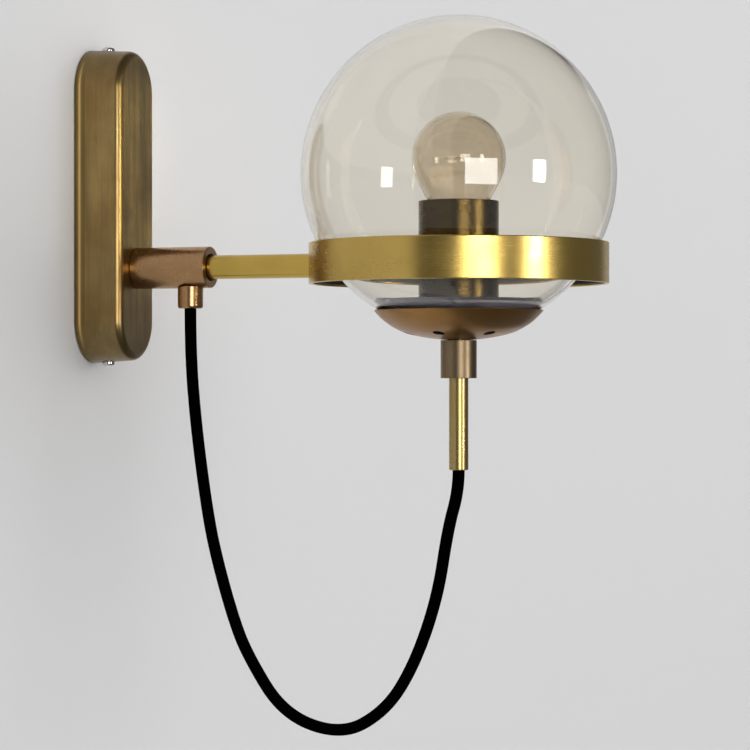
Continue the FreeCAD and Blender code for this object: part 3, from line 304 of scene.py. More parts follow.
class Recipe:
    """A node tree with short ways to add nodes and links."""

    def __init__(self, tree):
        self.tree = tree
        self.across = 0

    def add(self, kind, inputs=None, **settings):
        made = self.tree.nodes.new(kind)
        self.across += 180
        made.location = (self.across, 0)
        for key, setting in settings.items():
            setattr(made, key, setting)
        for key, given in (inputs or {}).items():
            self.feed(made.inputs[key], given)
        return made

    def feed(self, socket, given):
        if isinstance(given, bpy.types.NodeSocket):
            self.tree.links.new(given, socket)
        else:
            socket.default_value = given

    def math(self, operation, first, second=0.0):
        return self.add("ShaderNodeMath", {0: first, 1: second}, operation=operation).outputs[0]

    def times(self, first, second):
        return self.math("MULTIPLY", first, second)

    def plus(self, first, second):
        return self.math("ADD", first, second)

    def absolute(self, given):
        return self.math("ABSOLUTE", given)

    def stretch(self, given, low, high, new_low=0.0, new_high=1.0):
        made = self.add(
            "ShaderNodeMapRange",
            {"Value": given, "From Min": low, "From Max": high, "To Min": new_low, "To Max": new_high},
        )
        return made.outputs["Result"]

    def fade(self, given, low, high):
        """One up to the lower value and nothing from the higher one on."""
        return self.stretch(given, low, high, 1.0, 0.0)

    def blend(self, mask, first, second):
        made = self.add("ShaderNodeMix", data_type="RGBA", blend_type="MIX")
        self.feed(made.inputs["Factor"], mask)
        self.feed(made.inputs[6], first)
        self.feed(made.inputs[7], second)
        return made.outputs[2]

    def placed(self, scale=(1.0, 1.0, 1.0)):
        """The piece's own coordinates, stretched along each axis where its scale is small."""
        where = self.add("ShaderNodeTexCoord").outputs["Object"]
        return self.add("ShaderNodeMapping", {"Vector": where, "Scale": scale}).outputs["Vector"]

    def noise(self, vector, scale, detail, rough):
        made = self.add(
            "ShaderNodeTexNoise", {"Vector": vector, "Scale": scale, "Detail": detail, "Roughness": rough}
        )
        return made.outputs["Fac"]

    def relief(self, shader, height, strength, distance=0.0002):
        made = self.add("ShaderNodeBump", {"Strength": strength, "Distance": distance, "Height": height})
        self.feed(shader.inputs["Normal"], made.outputs["Normal"])

    def let_through(self, shader, output, mask, tint=(1.0, 1.0, 1.0, 1.0)):
        """Lets light pass straight on where the mask is one."""
        clear = self.add("ShaderNodeBsdfTransparent", {"Color": tint})
        mixed = self.add(
            "ShaderNodeMixShader", {"Fac": mask, 1: shader.outputs["BSDF"], 2: clear.outputs["BSDF"]}
        )
        self.feed(output.inputs["Surface"], mixed.outputs["Shader"])

    def group(self, name, inputs):
        tree = bpy.data.node_groups.get(name) or GROUPS[name](name)
        return self.add("ShaderNodeGroup", inputs, node_tree=tree).outputs


def open_group(name, values, outputs):
    """A new shader group that takes a vector and some values and gives values."""
    tree = bpy.data.node_groups.new(name, "ShaderNodeTree")
    tree.interface.new_socket(name="Vector", in_out="INPUT", socket_type="NodeSocketVector")
    for title in values:
        tree.interface.new_socket(name=title, in_out="INPUT", socket_type="NodeSocketFloat")
    for title in outputs:
        tree.interface.new_socket(name=title, in_out="OUTPUT", socket_type="NodeSocketFloat")
    recipe = Recipe(tree)
    return recipe, recipe.add("NodeGroupInput").outputs, recipe.add("NodeGroupOutput").inputs


def brushing(name):
    """Fine parallel strokes: the vector is stretched along them before it comes in."""
    recipe, given, out = open_group(name, ["Strokes"], ["Stroke", "Height"])
    fine = recipe.noise(given["Vector"], given["Strokes"], 3.0, 0.6)
    broad = recipe.noise(given["Vector"], recipe.times(given["Strokes"], 0.23), 2.0, 0.5)
    both = recipe.plus(recipe.times(fine, 0.6), recipe.times(broad, 0.4))
    recipe.feed(out["Stroke"], recipe.stretch(both, 0.35, 0.65))
    recipe.feed(out["Height"], both)
    return recipe.tree


def tarnish(name):
    """Soft clouds where the lacquer has darkened, with small specks."""
    recipe, given, out = open_group(name, ["Clouds", "Specks"], ["Cloud", "Speck"])
    cloud = recipe.noise(given["Vector"], given["Clouds"], 4.0, 0.55)
    speck = recipe.noise(given["Vector"], given["Specks"], 2.0, 0.7)
    recipe.feed(out["Cloud"], recipe.stretch(cloud, 0.35, 0.68))
    recipe.feed(out["Speck"], recipe.stretch(speck, 0.62, 0.75))
    return recipe.tree


GROUPS = {"Brushing": brushing, "Tarnish": tarnish}


def opaque(shade, by=1.0):
    """The colour with full cover, all its channels multiplied."""
    return (shade[0] * by, shade[1] * by, shade[2] * by, 1.0)


def tinted(shade, by):
    """The colour with full cover, each channel multiplied by its own value."""
    return (shade[0] * by[0], shade[1] * by[1], shade[2] * by[2], 1.0)


def new_material(name):
    """A fresh material's recipe, with its Principled shader linked to its output."""
    made = bpy.data.materials.new(name)
    made.use_nodes = True
    made.node_tree.nodes.clear()
    recipe = Recipe(made.node_tree)
    shader = recipe.add("ShaderNodeBsdfPrincipled")
    output = recipe.add("ShaderNodeOutputMaterial", {"Surface": shader.outputs["BSDF"]})
    return recipe, shader, output


# How much rougher the darkened clouds are than the clear metal.
CLOUD_ROUGHNESS = 0.08
# The strokes' mean height, which is taken off so that ridges leave the mean roughness as it is given.
STROKE_MEAN = 0.4

# The strokes' stretch: along the round of the lamp's pieces, along the round of the arm, and none.
ROUND_LAMP = (0.02, 0.02, 1.0)
ROUND_ARM = (0.02, 1.0, 0.02)
NO_GRAIN = (1.0, 1.0, 1.0)


def metal(name, shade, grain=NO_GRAIN, rough=0.28, strokes=2200.0, stroke_depth=0.10, dark=0.55, uneven=0.5,
          bump=0.12, ridges=0.10):
    """Solid metal with brushing, darkened clouds and an uneven shine."""
    recipe, shader, output = new_material(name)
    brushed = recipe.group("Brushing", {"Vector": recipe.placed(grain), "Strokes": strokes})
    stained = recipe.group("Tarnish", {"Vector": recipe.placed(), "Clouds": 40.0, "Specks": 900.0})
    stain = recipe.times(stained["Cloud"], uneven)
    base = recipe.blend(stain, opaque(shade), opaque(shade, dark))
    streaks = recipe.times(brushed["Stroke"], stroke_depth * 2.0)
    base = recipe.blend(streaks, base, opaque(shade, 1.0 - stroke_depth * 3.0))
    recipe.feed(shader.inputs["Base Color"], base)
    shader.inputs["Metallic"].default_value = 1.0
    worn = recipe.times(stained["Cloud"], CLOUD_ROUGHNESS)
    ridged = recipe.times(brushed["Stroke"], ridges)
    smooth = rough - CLOUD_ROUGHNESS / 2.0 - ridges * STROKE_MEAN
    recipe.feed(shader.inputs["Roughness"], recipe.plus(recipe.plus(worn, ridged), smooth))
    recipe.relief(shader, brushed["Height"], bump)


def plain(name, shade, rough, grain_size=700.0, bump=0.1, shine=0.5):
    """A moulded, rubber, ceramic or plated surface with a slight texture."""
    recipe, shader, output = new_material(name)
    stained = recipe.group("Tarnish", {"Vector": recipe.placed(), "Clouds": 60.0, "Specks": grain_size})
    base = recipe.blend(stained["Cloud"], opaque(shade), opaque(shade, 0.82))
    recipe.feed(shader.inputs["Base Color"], base)
    recipe.feed(shader.inputs["Roughness"], recipe.plus(recipe.times(stained["Speck"], 0.1), rough))
    shader.inputs["Specular IOR Level"].default_value = shine
    recipe.relief(shader, stained["Speck"], bump)


# The glass is painted darker towards its rim, between these two facings: partly the stronger tint of its
# slanting wall, partly painted shade.
RIM_FACING = (0.80, 0.95)
RIM_TINT_AND_SHADE = (0.86, 0.83, 0.76)


def glass(name, shade, index=1.46):
    """Clear glass with slow ripples and a darker rim, which lets the light of the lamps through."""
    recipe, shader, output = new_material(name)
    ripples = recipe.noise(recipe.placed(), 26.0, 1.0, 0.4)
    recipe.relief(shader, ripples, 0.05, 0.0006)
    base = recipe.blend(recipe.stretch(ripples, 0.3, 0.7), opaque(shade), opaque(shade, 0.985))
    # Towards the rim the colour darkens: partly the wall's stronger tint, partly painted shade.
    grazing = recipe.add("ShaderNodeLayerWeight", {"Blend": 0.5}).outputs["Facing"]
    base = recipe.blend(recipe.stretch(grazing, *RIM_FACING), base, tinted(shade, RIM_TINT_AND_SHADE))
    recipe.feed(shader.inputs["Base Color"], base)
    shader.inputs["Roughness"].default_value = 0.0
    shader.inputs["IOR"].default_value = index
    shader.inputs["Transmission Weight"].default_value = 1.0
    shadow = recipe.add("ShaderNodeLightPath").outputs["Is Shadow Ray"]
    recipe.let_through(shader, output, shadow, opaque(shade, 0.97))


# What the canopy's tones make of its brass: brown for its clouds, smoky for its strokes and for the painted
# shade of its ends, and a painted highlight.
BROWN, SMOKY, PAINTED_HIGHLIGHT = (0.60, 0.44, 0.36), (0.36, 0.38, 0.48), (2.05, 1.95, 1.5)
# Where the canopy's front begins along Y, and where its upper part with the painted highlight and its ends
# with the painted shade do along Z.
CANOPY_FRONT, CANOPY_UPPER, CANOPY_SHADED_ENDS = (-0.0228, -0.0238), (-0.052, -0.012), (0.056, 0.069)
# Lines painted along the canopy's rear edge, as painted reflections and a painted shadow gap at the wall:
# place along Y, strength and how far each is lifted or darkened.
PAINTED_RIM_LINES = ((-0.0004, 0.7, 0.3), (-0.0024, 0.9, 1.9), (-0.0046, 0.65, 0.4))
# The height over which these lines fade out, and the distance over which their edges do.
LINE_ENDS, LINE_EDGE = (0.058, 0.072), (0.0002, 0.0009)


def canopy_brass(name, shade):
    """Antique brass: a polished upper front, browned clouds, upright strokes, dark ends and worn lines."""
    recipe, shader, output = new_material(name)
    place = recipe.placed()
    axes = recipe.add("ShaderNodeSeparateXYZ", {"Vector": place}).outputs
    brushed = recipe.group("Brushing", {"Vector": recipe.placed((1.0, 1.0, 0.03)), "Strokes": 900.0})
    broad = recipe.group("Brushing", {"Vector": recipe.placed((1.0, 1.0, 0.10)), "Strokes": 230.0})
    stained = recipe.group("Tarnish", {"Vector": place, "Clouds": 30.0, "Specks": 1200.0})
    smoky = tinted(shade, SMOKY)

    # The upper front is made lighter than the rest: a painted highlight.
    front = recipe.stretch(axes["Y"], *CANOPY_FRONT)
    upper = recipe.stretch(axes["Z"], *CANOPY_UPPER)
    base = recipe.blend(recipe.times(front, upper), opaque(shade), tinted(shade, PAINTED_HIGHLIGHT))
    base = recipe.blend(recipe.times(stained["Cloud"], 0.75), base, tinted(shade, BROWN))
    base = recipe.blend(recipe.times(broad["Stroke"], 0.65), base, smoky)
    base = recipe.blend(recipe.times(brushed["Stroke"], 0.36), base, smoky)
    # The round ends are darkened towards the smoky tone: painted shade.
    height = recipe.absolute(axes["Z"])
    base = recipe.blend(recipe.times(recipe.stretch(height, *CANOPY_SHADED_ENDS), 0.6), base, smoky)
    # The rear edge's lines: painted reflections where they are lifted, painted shade where they are darkened.
    short = recipe.fade(height, *LINE_ENDS)
    for centre, strength, lift in PAINTED_RIM_LINES:
        off = recipe.absolute(recipe.math("SUBTRACT", axes["Y"], centre))
        line = recipe.times(recipe.fade(off, *LINE_EDGE), strength)
        base = recipe.blend(recipe.times(line, short), base, opaque(shade, lift))

    recipe.feed(shader.inputs["Base Color"], base)
    shader.inputs["Metallic"].default_value = 1.0
    recipe.feed(shader.inputs["Roughness"], recipe.plus(recipe.times(stained["Cloud"], 0.14), 0.27))
    recipe.relief(shader, brushed["Height"], 0.12)


# Each finish: its recipe, its colour (linear, or the name of one of the user's colours) and its settings.
FINISHES = {
    "canopy brass": (canopy_brass, "canopy", {}),
    "hub brass": (metal, "copper", dict(
        rough=0.28, strokes=1400.0, stroke_depth=0.03, uneven=0.35, bump=0.004, ridges=0.02)),
    "grip brass": (metal, "copper", dict(
        rough=0.24, strokes=1400.0, stroke_depth=0.03, uneven=0.3, bump=0.004, ridges=0.02)),
    "arm brass": (metal, "arm", dict(
        grain=ROUND_ARM, rough=0.23, strokes=2600.0, stroke_depth=0.03, uneven=0.3, bump=0.01, ridges=0.03)),
    "ring brass": (metal, "ring", dict(
        grain=ROUND_LAMP, rough=0.25, strokes=2600.0, stroke_depth=0.025, uneven=0.3, bump=0.015, dark=0.6,
        ridges=0.03)),
    "cup brass": (metal, "cup", dict(
        grain=ROUND_LAMP, rough=0.33, strokes=1500.0, stroke_depth=0.06, uneven=0.45, bump=0.03)),
    "collar bronze": (metal, "collar", dict(
        grain=ROUND_LAMP, rough=0.36, strokes=1500.0, stroke_depth=0.04, uneven=0.35, bump=0.01,
        ridges=0.04)),
    "stem brass": (metal, "stem", dict(
        grain=ROUND_LAMP, rough=0.28, strokes=1200.0, stroke_depth=0.03, uneven=0.2, bump=0.01, ridges=0.03)),
    "sleeve bronze": (metal, "sleeve", dict(
        grain=ROUND_LAMP, rough=0.25, strokes=2600.0, stroke_depth=0.03, uneven=0.35, bump=0.012,
        ridges=0.04)),
    "clamp dark": (metal, (0.15, 0.145, 0.19), dict(rough=0.34, strokes=900.0, uneven=0.6, bump=0.08)),
    "plain brass": (metal, (0.62, 0.43, 0.17), dict(rough=0.3, strokes=900.0, uneven=0.3)),
    "zinc steel": (metal, (0.55, 0.56, 0.57), dict(rough=0.36, strokes=700.0, uneven=0.35)),
    "chrome": (metal, (0.72, 0.72, 0.73), dict(
        rough=0.14, strokes=900.0, stroke_depth=0.03, uneven=0.15, bump=0.03)),
    "cap nickel": (metal, (0.66, 0.63, 0.57), dict(
        grain=ROUND_LAMP, rough=0.22, strokes=900.0, uneven=0.2, bump=0.05)),
    "filament": (metal, (0.52, 0.45, 0.34), dict(rough=0.4, strokes=900.0)),
    # Near black: painted shade for the cup's hole walls and inside.
    "cup inside": (plain, (0.012, 0.010, 0.008), dict(rough=0.6, shine=0.1)),
    "liner black": (plain, (0.012, 0.011, 0.011), dict(rough=0.55)),
    "gasket grey": (plain, (0.16, 0.155, 0.21), dict(rough=0.5)),
    "porcelain": (plain, (0.83, 0.81, 0.77), dict(rough=0.14, bump=0.03)),
    "insulator black": (plain, (0.02, 0.019, 0.018), dict(rough=0.3)),
    "nylon white": (plain, (0.72, 0.71, 0.68), dict(rough=0.45)),
    "wire sheath": (plain, (0.55, 0.53, 0.50), dict(rough=0.4)),
    "cord black": (plain, "cord", dict(rough=0.85, grain_size=1600.0, shine=0.0)),
    "globe glass": (glass, "globe", {}),
    "bulb glass": (glass, "bulb", {}),
    "mount glass": (glass, "globe", dict(index=1.03)),
}


def finish(name):
    """The material of this name, made when it is first asked for."""
    if name not in bpy.data.materials:
        recipe, shade, settings = FINISHES[name]
        if isinstance(shade, str):
            shade = getattr(finishes(), shade)
        recipe(name, shade, **settings)
    return bpy.data.materials[name]


# ---- pieces -----------------------------------------------------------------------------------------


def make_cord():
    s = sizes()
    data = bpy.data.curves.new("cord_line", "CURVE")
    data.dimensions = "3D"
    line = data.splines.new("NURBS")
    line.points.add(len(CORD_ROUTE) - 1)
    for point, (out, height) in zip(line.points, CORD_ROUTE):
        point.co = (0.0, -out, height, 1.0)
    line.order_u = 3
    line.use_endpoint_u = True
    line.resolution_u = 12
    data.bevel_depth = s.cord_width / 2.0
    data.bevel_resolution = 6
    data.use_fill_caps = True
    piece = bpy.data.objects.new("hanging_cord", data)
    bpy.context.scene.collection.objects.link(piece)
    data.materials.append(finish("cord black"))
    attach(piece, "fixture")
    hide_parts("cord")
    out, height = CORD_ROUTE[0]


def obround(width, height):
    """A flat face with round ends, on the wall."""
    steps = 64
    mesh = bmesh.new()
    half_step = 360.0 / steps / 2.0
    turned = rotation(90.0, "X") @ rotation(half_step, "Z")
    ring = bmesh.ops.create_circle(mesh, cap_ends=True, radius=width / 2.0, segments=steps, matrix=turned)
    upper = [vert for vert in ring["verts"] if vert.co.z > 0.0]
    lower = [vert for vert in ring["verts"] if vert.co.z <= 0.0]
    straight = (height - width) / 2.0
    bmesh.ops.translate(mesh, verts=upper, vec=(0.0, 0.0, straight))
    bmesh.ops.translate(mesh, verts=lower, vec=(0.0, 0.0, -straight))
    return mesh


def obround_shell(width, height, depth, lean, edge):
    """The obround drawn out from the wall, leaning in, its front edge rounded and its back open."""
    mesh = obround(width, height)
    front = bmesh.ops.extrude_face_region(mesh, geom=mesh.faces[:])["geom"]
    verts = [item for item in front if isinstance(item, bmesh.types.BMVert)]
    straight = (height - width) / 2.0
    shrink = (width / 2.0 - lean) / (width / 2.0)
    upper = [vert for vert in verts if vert.co.z > 0.0]
    lower = [vert for vert in verts if vert.co.z <= 0.0]
    for side, group in ((1.0, upper), (-1.0, lower)):
        centre = Matrix.Translation((0.0, 0.0, -side * straight))
        bmesh.ops.scale(mesh, vec=(shrink, 1.0, shrink), space=centre, verts=group)
    bmesh.ops.translate(mesh, verts=verts, vec=(0.0, -depth, 0.0))
    back = [face for face in mesh.faces if all(abs(vert.co.y) < 1e-7 for vert in face.verts)]
    bmesh.ops.delete(mesh, geom=back, context="FACES_ONLY")
    rim = [line for line in mesh.edges if all(abs(vert.co.y + depth) < 1e-7 for vert in line.verts)]
    bevel(mesh, rim, edge, steps=8)
    bmesh.ops.recalc_face_normals(mesh, faces=mesh.faces)
    return mesh


def make_canopy():
    s = sizes()
    shell = obround_shell(s.canopy_width, s.canopy_height, s.canopy_depth, s.canopy_lean, s.canopy_edge)
    bmesh.ops.solidify(shell, geom=shell.faces[:], thickness=s.canopy_wall)
    for vert in shell.verts:
        vert.co.y = min(vert.co.y, 0.0)
    finished("canopy", shell, "canopy brass", "canopy_cover")


# The domed head of a canopy screw: share of its radius, and how far that point lies below the top.
SCREW_DOME = ((0.45, 0.0001), (0.85, 0.0006), (1.0, 0.0012))
# One slot of its cross recess: length, width and height, half of it in the head.
SCREW_SLOT = (0.0042, 0.0009, 0.0018, 1.0)


def make_canopy_screws():
    """Two domed heads with a cross recess, on the upper and the lower end of the canopy."""
    top, seat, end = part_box("canopy_screws")[1][2], 0.0772, 0.071
    radius, shank, reach = 0.0032, 0.0015, 0.008
    for name, flip in (("upper_screw", 0.0), ("lower_screw", 180.0)):
        outline = Outline(0.0, top)
        outline.lines(*((radius * share, top - drop) for share, drop in SCREW_DOME))
        outline.lines((radius, seat), (shank, seat), (shank, end), (0.0, end))
        place = Matrix.Translation((0.0, -reach, 0.0)) @ rotation(flip, "X")
        head = outline.turned(place, edge=0.0002, steps=48, edge_steps=2)
        slots = []
        for across in (20.0, 110.0):
            slot = bmesh.new()
            deep = place @ Matrix.Translation((0.0, 0.0, top)) @ rotation(across, "Z")
            bmesh.ops.create_cube(slot, size=1.0, matrix=deep @ Matrix.Diagonal(SCREW_SLOT))
            slots.append(slot)
        finished(name, cut(head, slots), "chrome", "canopy_screws", sharp=30.0)


def make_hub():
    s = sizes()
    bore, recess_depth = 0.004, 0.0025
    start, floor = s.canopy_depth, s.hub_end - recess_depth
    outline = Outline(bore, start).lines(
        (s.hub_radius, start), (s.hub_radius, s.hub_end), (s.hub_recess, s.hub_end), (s.hub_recess, floor),
        (bore, floor),
    ).close()
    finished("arm_hub", outline.turned(ON_ARM, edge=0.0005, steps=128), "hub brass", "hub")


def make_grip():
    s = sizes()
    low, shoulder, top = -0.0512, -0.0405, -0.03605
    bore, neck, edge = 0.003, 0.0044, 0.0012
    outline = Outline(bore, low).lines((s.grip_radius - edge, low))
    outline.arc((s.grip_radius - edge, low + edge), -90.0, 6)
    outline.lines((s.grip_radius, shoulder), (neck, shoulder), (neck, top), (bore, top)).close()
    finished("grip_under_hub", outline.turned(ON_GRIP), "grip brass", "cord_grip")


def make_arm():
    s = sizes()
    start, end = 0.061, 0.12002
    outline = tube(s.arm_radius - s.arm_wall, s.arm_radius, start, end)
    finished("arm", outline.turned(ON_ARM, edge=0.00015), "arm brass", "arm_tube")


def make_ring():
    s = sizes()
    hoop = tube(s.ring_inside, s.ring_outside, s.ring_low, s.ring_high)
    mesh = hoop.turned(ON_GLOBE, edge=0.00045, steps=192)
    finished("holding_ring", mesh, "ring brass", "support_ring")
    wall, gap, setback, slope = 0.0015, 0.00005, 0.001, 0.0004
    low, inside, outside = s.ring_low + setback, s.ring_inside - wall, s.ring_inside - gap
    lining = Outline(inside, low).lines(
        (outside, low), (outside, s.ring_high), (inside, s.ring_high - slope)
    ).close()
    mesh = lining.turned(ON_GLOBE, edge=0.0002, steps=192)
    finished("ring_lining", mesh, "liner black", "ring_liner")


def make_globe():
    s = sizes()
    inside = s.globe_radius - s.globe_wall
    outer_mouth = 180.0 - math.degrees(math.asin(s.globe_opening / s.globe_radius))
    inner_mouth = 180.0 - math.degrees(math.asin(s.globe_opening / inside))
    outline = Outline(0.0, s.globe_radius)
    outline.arc((0.0, 0.0), outer_mouth, 72)
    outline.lines((s.globe_opening, -math.sqrt(inside ** 2 - s.globe_opening ** 2)))
    outline.arc((0.0, 0.0), -inner_mouth, 72)
    mesh = outline.turned(ON_GLOBE, edge=0.0006, steps=144, edge_steps=4)
    finished("globe", mesh, "globe glass", "glass_globe", sharp=80.0)


def make_bulb():
    s = sizes()
    flare, neck, neck_top, neck_low = 118.0, 0.0134, -0.01523, -0.02143
    centre = (0.0, s.bulb_height)
    inner, turn = s.bulb_radius - s.bulb_wall, math.radians(flare)
    outline = Outline(0.0, s.bulb_height + s.bulb_radius)
    outline.arc(centre, flare, 48)
    outline.lines(
        (neck, neck_top), (neck, neck_low), (neck - s.bulb_wall, neck_low), (neck - s.bulb_wall, neck_top),
        (inner * math.sin(turn), s.bulb_height + inner * math.cos(turn)),
    )
    outline.arc(centre, -flare, 48)
    mesh = outline.turned(ON_GLOBE)
    finished("bulb", mesh, "bulb glass", "bulb_glass", body="bulb", sharp=80.0)


def make_filament():
    """A fine hoop of wire on two supports, far thinner than the hoop that stands for it."""
    wire, sides, radius = 0.00007, 8, 0.007
    support_length, support_middle = 0.0045, 0.00475
    hoop = bmesh.new()
    section = Matrix.Translation((radius, 0.0, 0.0)) @ rotation(90.0, "X")
    bmesh.ops.create_circle(hoop, segments=sides, radius=wire, matrix=section)
    bmesh.ops.spin(
        hoop, geom=hoop.verts[:] + hoop.edges[:], cent=(0.0, 0.0, 0.0), axis=(0.0, 0.0, 1.0),
        angle=FULL_TURN, steps=64, use_merge=True,
    )
    for turn in (90.0, 270.0):
        place = rotation(turn, "Z") @ Matrix.Translation((support_middle, 0.0, 0.0)) @ rotation(90.0, "Y")
        bmesh.ops.create_cone(
            hoop, cap_ends=True, segments=sides, radius1=wire, radius2=wire, depth=support_length,
            matrix=place,
        )
    bmesh.ops.recalc_face_normals(hoop, faces=hoop.faces)
    bmesh.ops.translate(hoop, verts=hoop.verts, vec=GLOBE + Vector((0.0, 0.0, sizes().bulb_height)))
    finished("filament", hoop, "filament", "bulb_filament", body="bulb")


def cup_outline(bore):
    """A shallow round bottom that runs smoothly into a rounder side, in sheet."""
    s = sizes()
    wall, base_curve, base_half = s.cup_wall, 0.097, 0.022
    lean = math.asin(base_half / base_curve)
    base_centre = (0.0, s.cup_bottom + base_curve)
    base_top = base_centre[1] - base_curve * math.cos(lean)
    run, rise = s.cup_radius - base_half, s.cup_rim - base_top
    curve = (run ** 2 + rise ** 2) / (2.0 * (rise * math.cos(lean) - run * math.sin(lean)))
    side = (base_half - curve * math.sin(lean), base_top + curve * math.cos(lean))
    drop = side[1] - s.cup_rim
    end = 90.0 - math.degrees(lean)
    outer_side = end - math.degrees(math.asin(drop / curve))
    inner_side = end - math.degrees(math.asin(drop / (curve - wall)))
    inner_bore = math.asin(bore / (base_curve - wall))
    outline = Outline(s.cup_radius, s.cup_rim)
    outline.arc(side, outer_side, 14)
    outline.arc(base_centre, math.degrees(lean - math.asin(bore / base_curve)), 10)
    outline.lines((bore, base_centre[1] - (base_curve - wall) * math.cos(inner_bore)))
    outline.arc(base_centre, -math.degrees(lean - inner_bore), 10)
    outline.arc(side, -inner_side, 14)
    return outline.close()


# The cup's holes: how many, the first one's angle in degrees, and their place before they are turned.
CUP_HOLES, FIRST_HOLE, HOLE_PLACE = 6, 54.5, (0.0238, 0.0, -0.074)
HOLE_RADIUS = 0.0028
# Faces given near-black painted shade: those that stand nearly upright between these distances from the
# lamp's line, the hole walls, and those that look up within the last one, the cup's inside. The values of
# facing are the upward part of a face's normal.
HOLE_ZONE, HOLE_FACING = (0.0208, 0.0268), 0.3
INSIDE_ZONE, INSIDE_FACING = 0.039, 0.2


def make_cup():
    mesh = cup_outline(bore=0.00505).turned(ON_GLOBE, edge=0.0005, steps=144)
    holes = []
    for number in range(CUP_HOLES):
        turn = rotation(FIRST_HOLE + 360.0 / CUP_HOLES * number, "Z")
        drill = bmesh.new()
        bmesh.ops.create_cone(
            drill, cap_ends=True, segments=40, radius1=HOLE_RADIUS, radius2=HOLE_RADIUS, depth=0.02,
            matrix=ON_GLOBE @ turn @ Matrix.Translation(HOLE_PLACE),
        )
        holes.append(drill)
    mesh = cut(mesh, holes)
    for face in mesh.faces:
        where, upward = face.calc_center_median() - GLOBE, face.normal.z
        out = math.hypot(where.x, where.y)
        # Hole walls and the cup's inside get the near-black painted shade.
        in_hole = abs(upward) < HOLE_FACING and HOLE_ZONE[0] < out < HOLE_ZONE[1]
        inside = upward > INSIDE_FACING and out < INSIDE_ZONE
        face.material_index = 1 if in_hole or inside else 0
    piece = finished("cup", mesh, "cup brass", "bottom_cup")
    piece.data.materials.append(finish("cup inside"))


def make_cup_seal():
    finished("cup_seal", merged_copy("globe_gasket"), "gasket grey", "globe_gasket", sharp=40.0)


def make_clamps():
    for number in (1, 2, 3):
        node = "glass_clamp_%d" % number
        finished("clamp_%d" % number, merged_copy(node), "clamp dark", node, sharp=30.0)
    finished("clamp_strip", merged_copy("clamp_gasket"), "gasket grey", "clamp_gasket", sharp=30.0)


def make_sleeve():
    s = sizes()
    bore, inside, floor = 0.00505, s.sleeve_radius - s.sleeve_wall, s.sleeve_low + s.sleeve_wall
    outline = Outline(bore, s.sleeve_low).lines(
        (s.sleeve_radius, s.sleeve_low), (s.sleeve_radius, s.sleeve_high), (inside, s.sleeve_high),
        (inside, floor), (bore, floor),
    ).close()
    mesh = outline.turned(ON_GLOBE, edge=0.0004, steps=128)
    finished("lamp_sleeve", mesh, "sleeve bronze", "holder_sleeve")


def make_collar():
    s = sizes()
    low, high = s.cup_bottom - s.collar_length, s.cup_bottom
    mouth, bore, socket_depth = 0.0047, 0.0051, 0.0068
    shoulder = low + socket_depth
    outline = Outline(mouth, low).lines(
        (s.collar_radius, low), (s.collar_radius, high), (bore, high), (bore, shoulder), (mouth, shoulder)
    ).close()
    mesh = outline.turned(ON_GLOBE, edge=0.0006, steps=128)
    finished("stem_collar", mesh, "collar bronze", "collar")


def make_stem():
    s = sizes()
    bore, end_in_collar = 0.0031, 0.0065
    high = s.cup_bottom - s.collar_length + end_in_collar
    outline = tube(bore, s.stem_radius, high - s.stem_length, high)
    finished("stem", outline.turned(ON_GLOBE, edge=0.0003), "stem brass", "stem_tube")


# CAD nodes whose own mesh stays and isn't plain brass, with the finish each gets.
KEPT = {
    "wall_bracket": "zinc steel",
    "terminal_block": "nylon white",
    "lead_wires": "wire sheath",
    "hub_washer": "zinc steel",
    "hub_nut": "zinc steel",
    "cord_in_grip": "cord black",
    "cord_in_stem": "cord black",
    "clamp_screws": "zinc steel",
    "carrier_plate": "zinc steel",
    "socket_body": "porcelain",
    "bulb_cap": "cap nickel",
    "bulb_insulator": "insulator black",
    "bulb_contact": "cap nickel",
    "bulb_mount": "mount glass",
}


def dress_kept():
    """Gives every CAD node a node-based finish, also the ones that other pieces stand for."""
    for name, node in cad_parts.items():
        material = finish(KEPT.get(name, "plain brass"))
        if not node.data.materials:
            node.data.materials.append(material)
        for slot in node.material_slots:
            slot.material = material


# ---- stage ------------------------------------------------------------------------------------------


# The wall is mirrored only to the right of this edge, as in a room with a dark side.
WALL_EDGE = -0.76
WALL_SIDE = 6.0
# The wall's paint lies this far behind the canopy's rim, and is open within this half width and half height.
WALL_BEHIND = 0.0005
WALL_OPENING = (0.0175, 0.062)

# Panels that metal and glass mirror: direction from the globe, distance, width, height and power.
PANELS = {
    "window": ((-0.237, -0.971, -0.01), 1.6, 0.27, 0.38, 6.5),
    "camera side": ((-0.836, -0.551, -0.04), 1.7, 0.68, 0.54, 9.2),
    "far side": ((0.98, -0.18, 0.0), 2.6, 0.85, 2.2, 2.1),
}
# Distant lamps that light the matt surfaces: direction of the light, power and spread in degrees.
EVEN_LAMPS = {
    "room light": ((-0.05, 1.0, -0.08), 2.12, 90.0),
    "light from the right": ((-0.88, 0.45, -0.08), 0.95, 60.0),
}
# The room's glow as the camera sees it, as it lights matt surfaces, and as metal and glass mirror it.
ROOM_SEEN, ROOM_LIGHT, ROOM_MIRRORED = 0.62, 0.48, 0.14


def stage_plane(name, side, matrix, material):
    mesh = bmesh.new()
    bmesh.ops.create_grid(mesh, x_segments=2, y_segments=2, size=side / 2.0, matrix=matrix)
    plane = plain_object(name, mesh)
    plane.data.materials.append(material)
    return plane


def paint(name, shade):
    """Plain matt paint with its recipe."""
    recipe, shader, output = new_material(name)
    recipe.feed(shader.inputs["Base Color"], opaque(shade))
    shader.inputs["Roughness"].default_value = 0.9
    shader.inputs["Specular IOR Level"].default_value = 0.1
    return recipe, shader, output


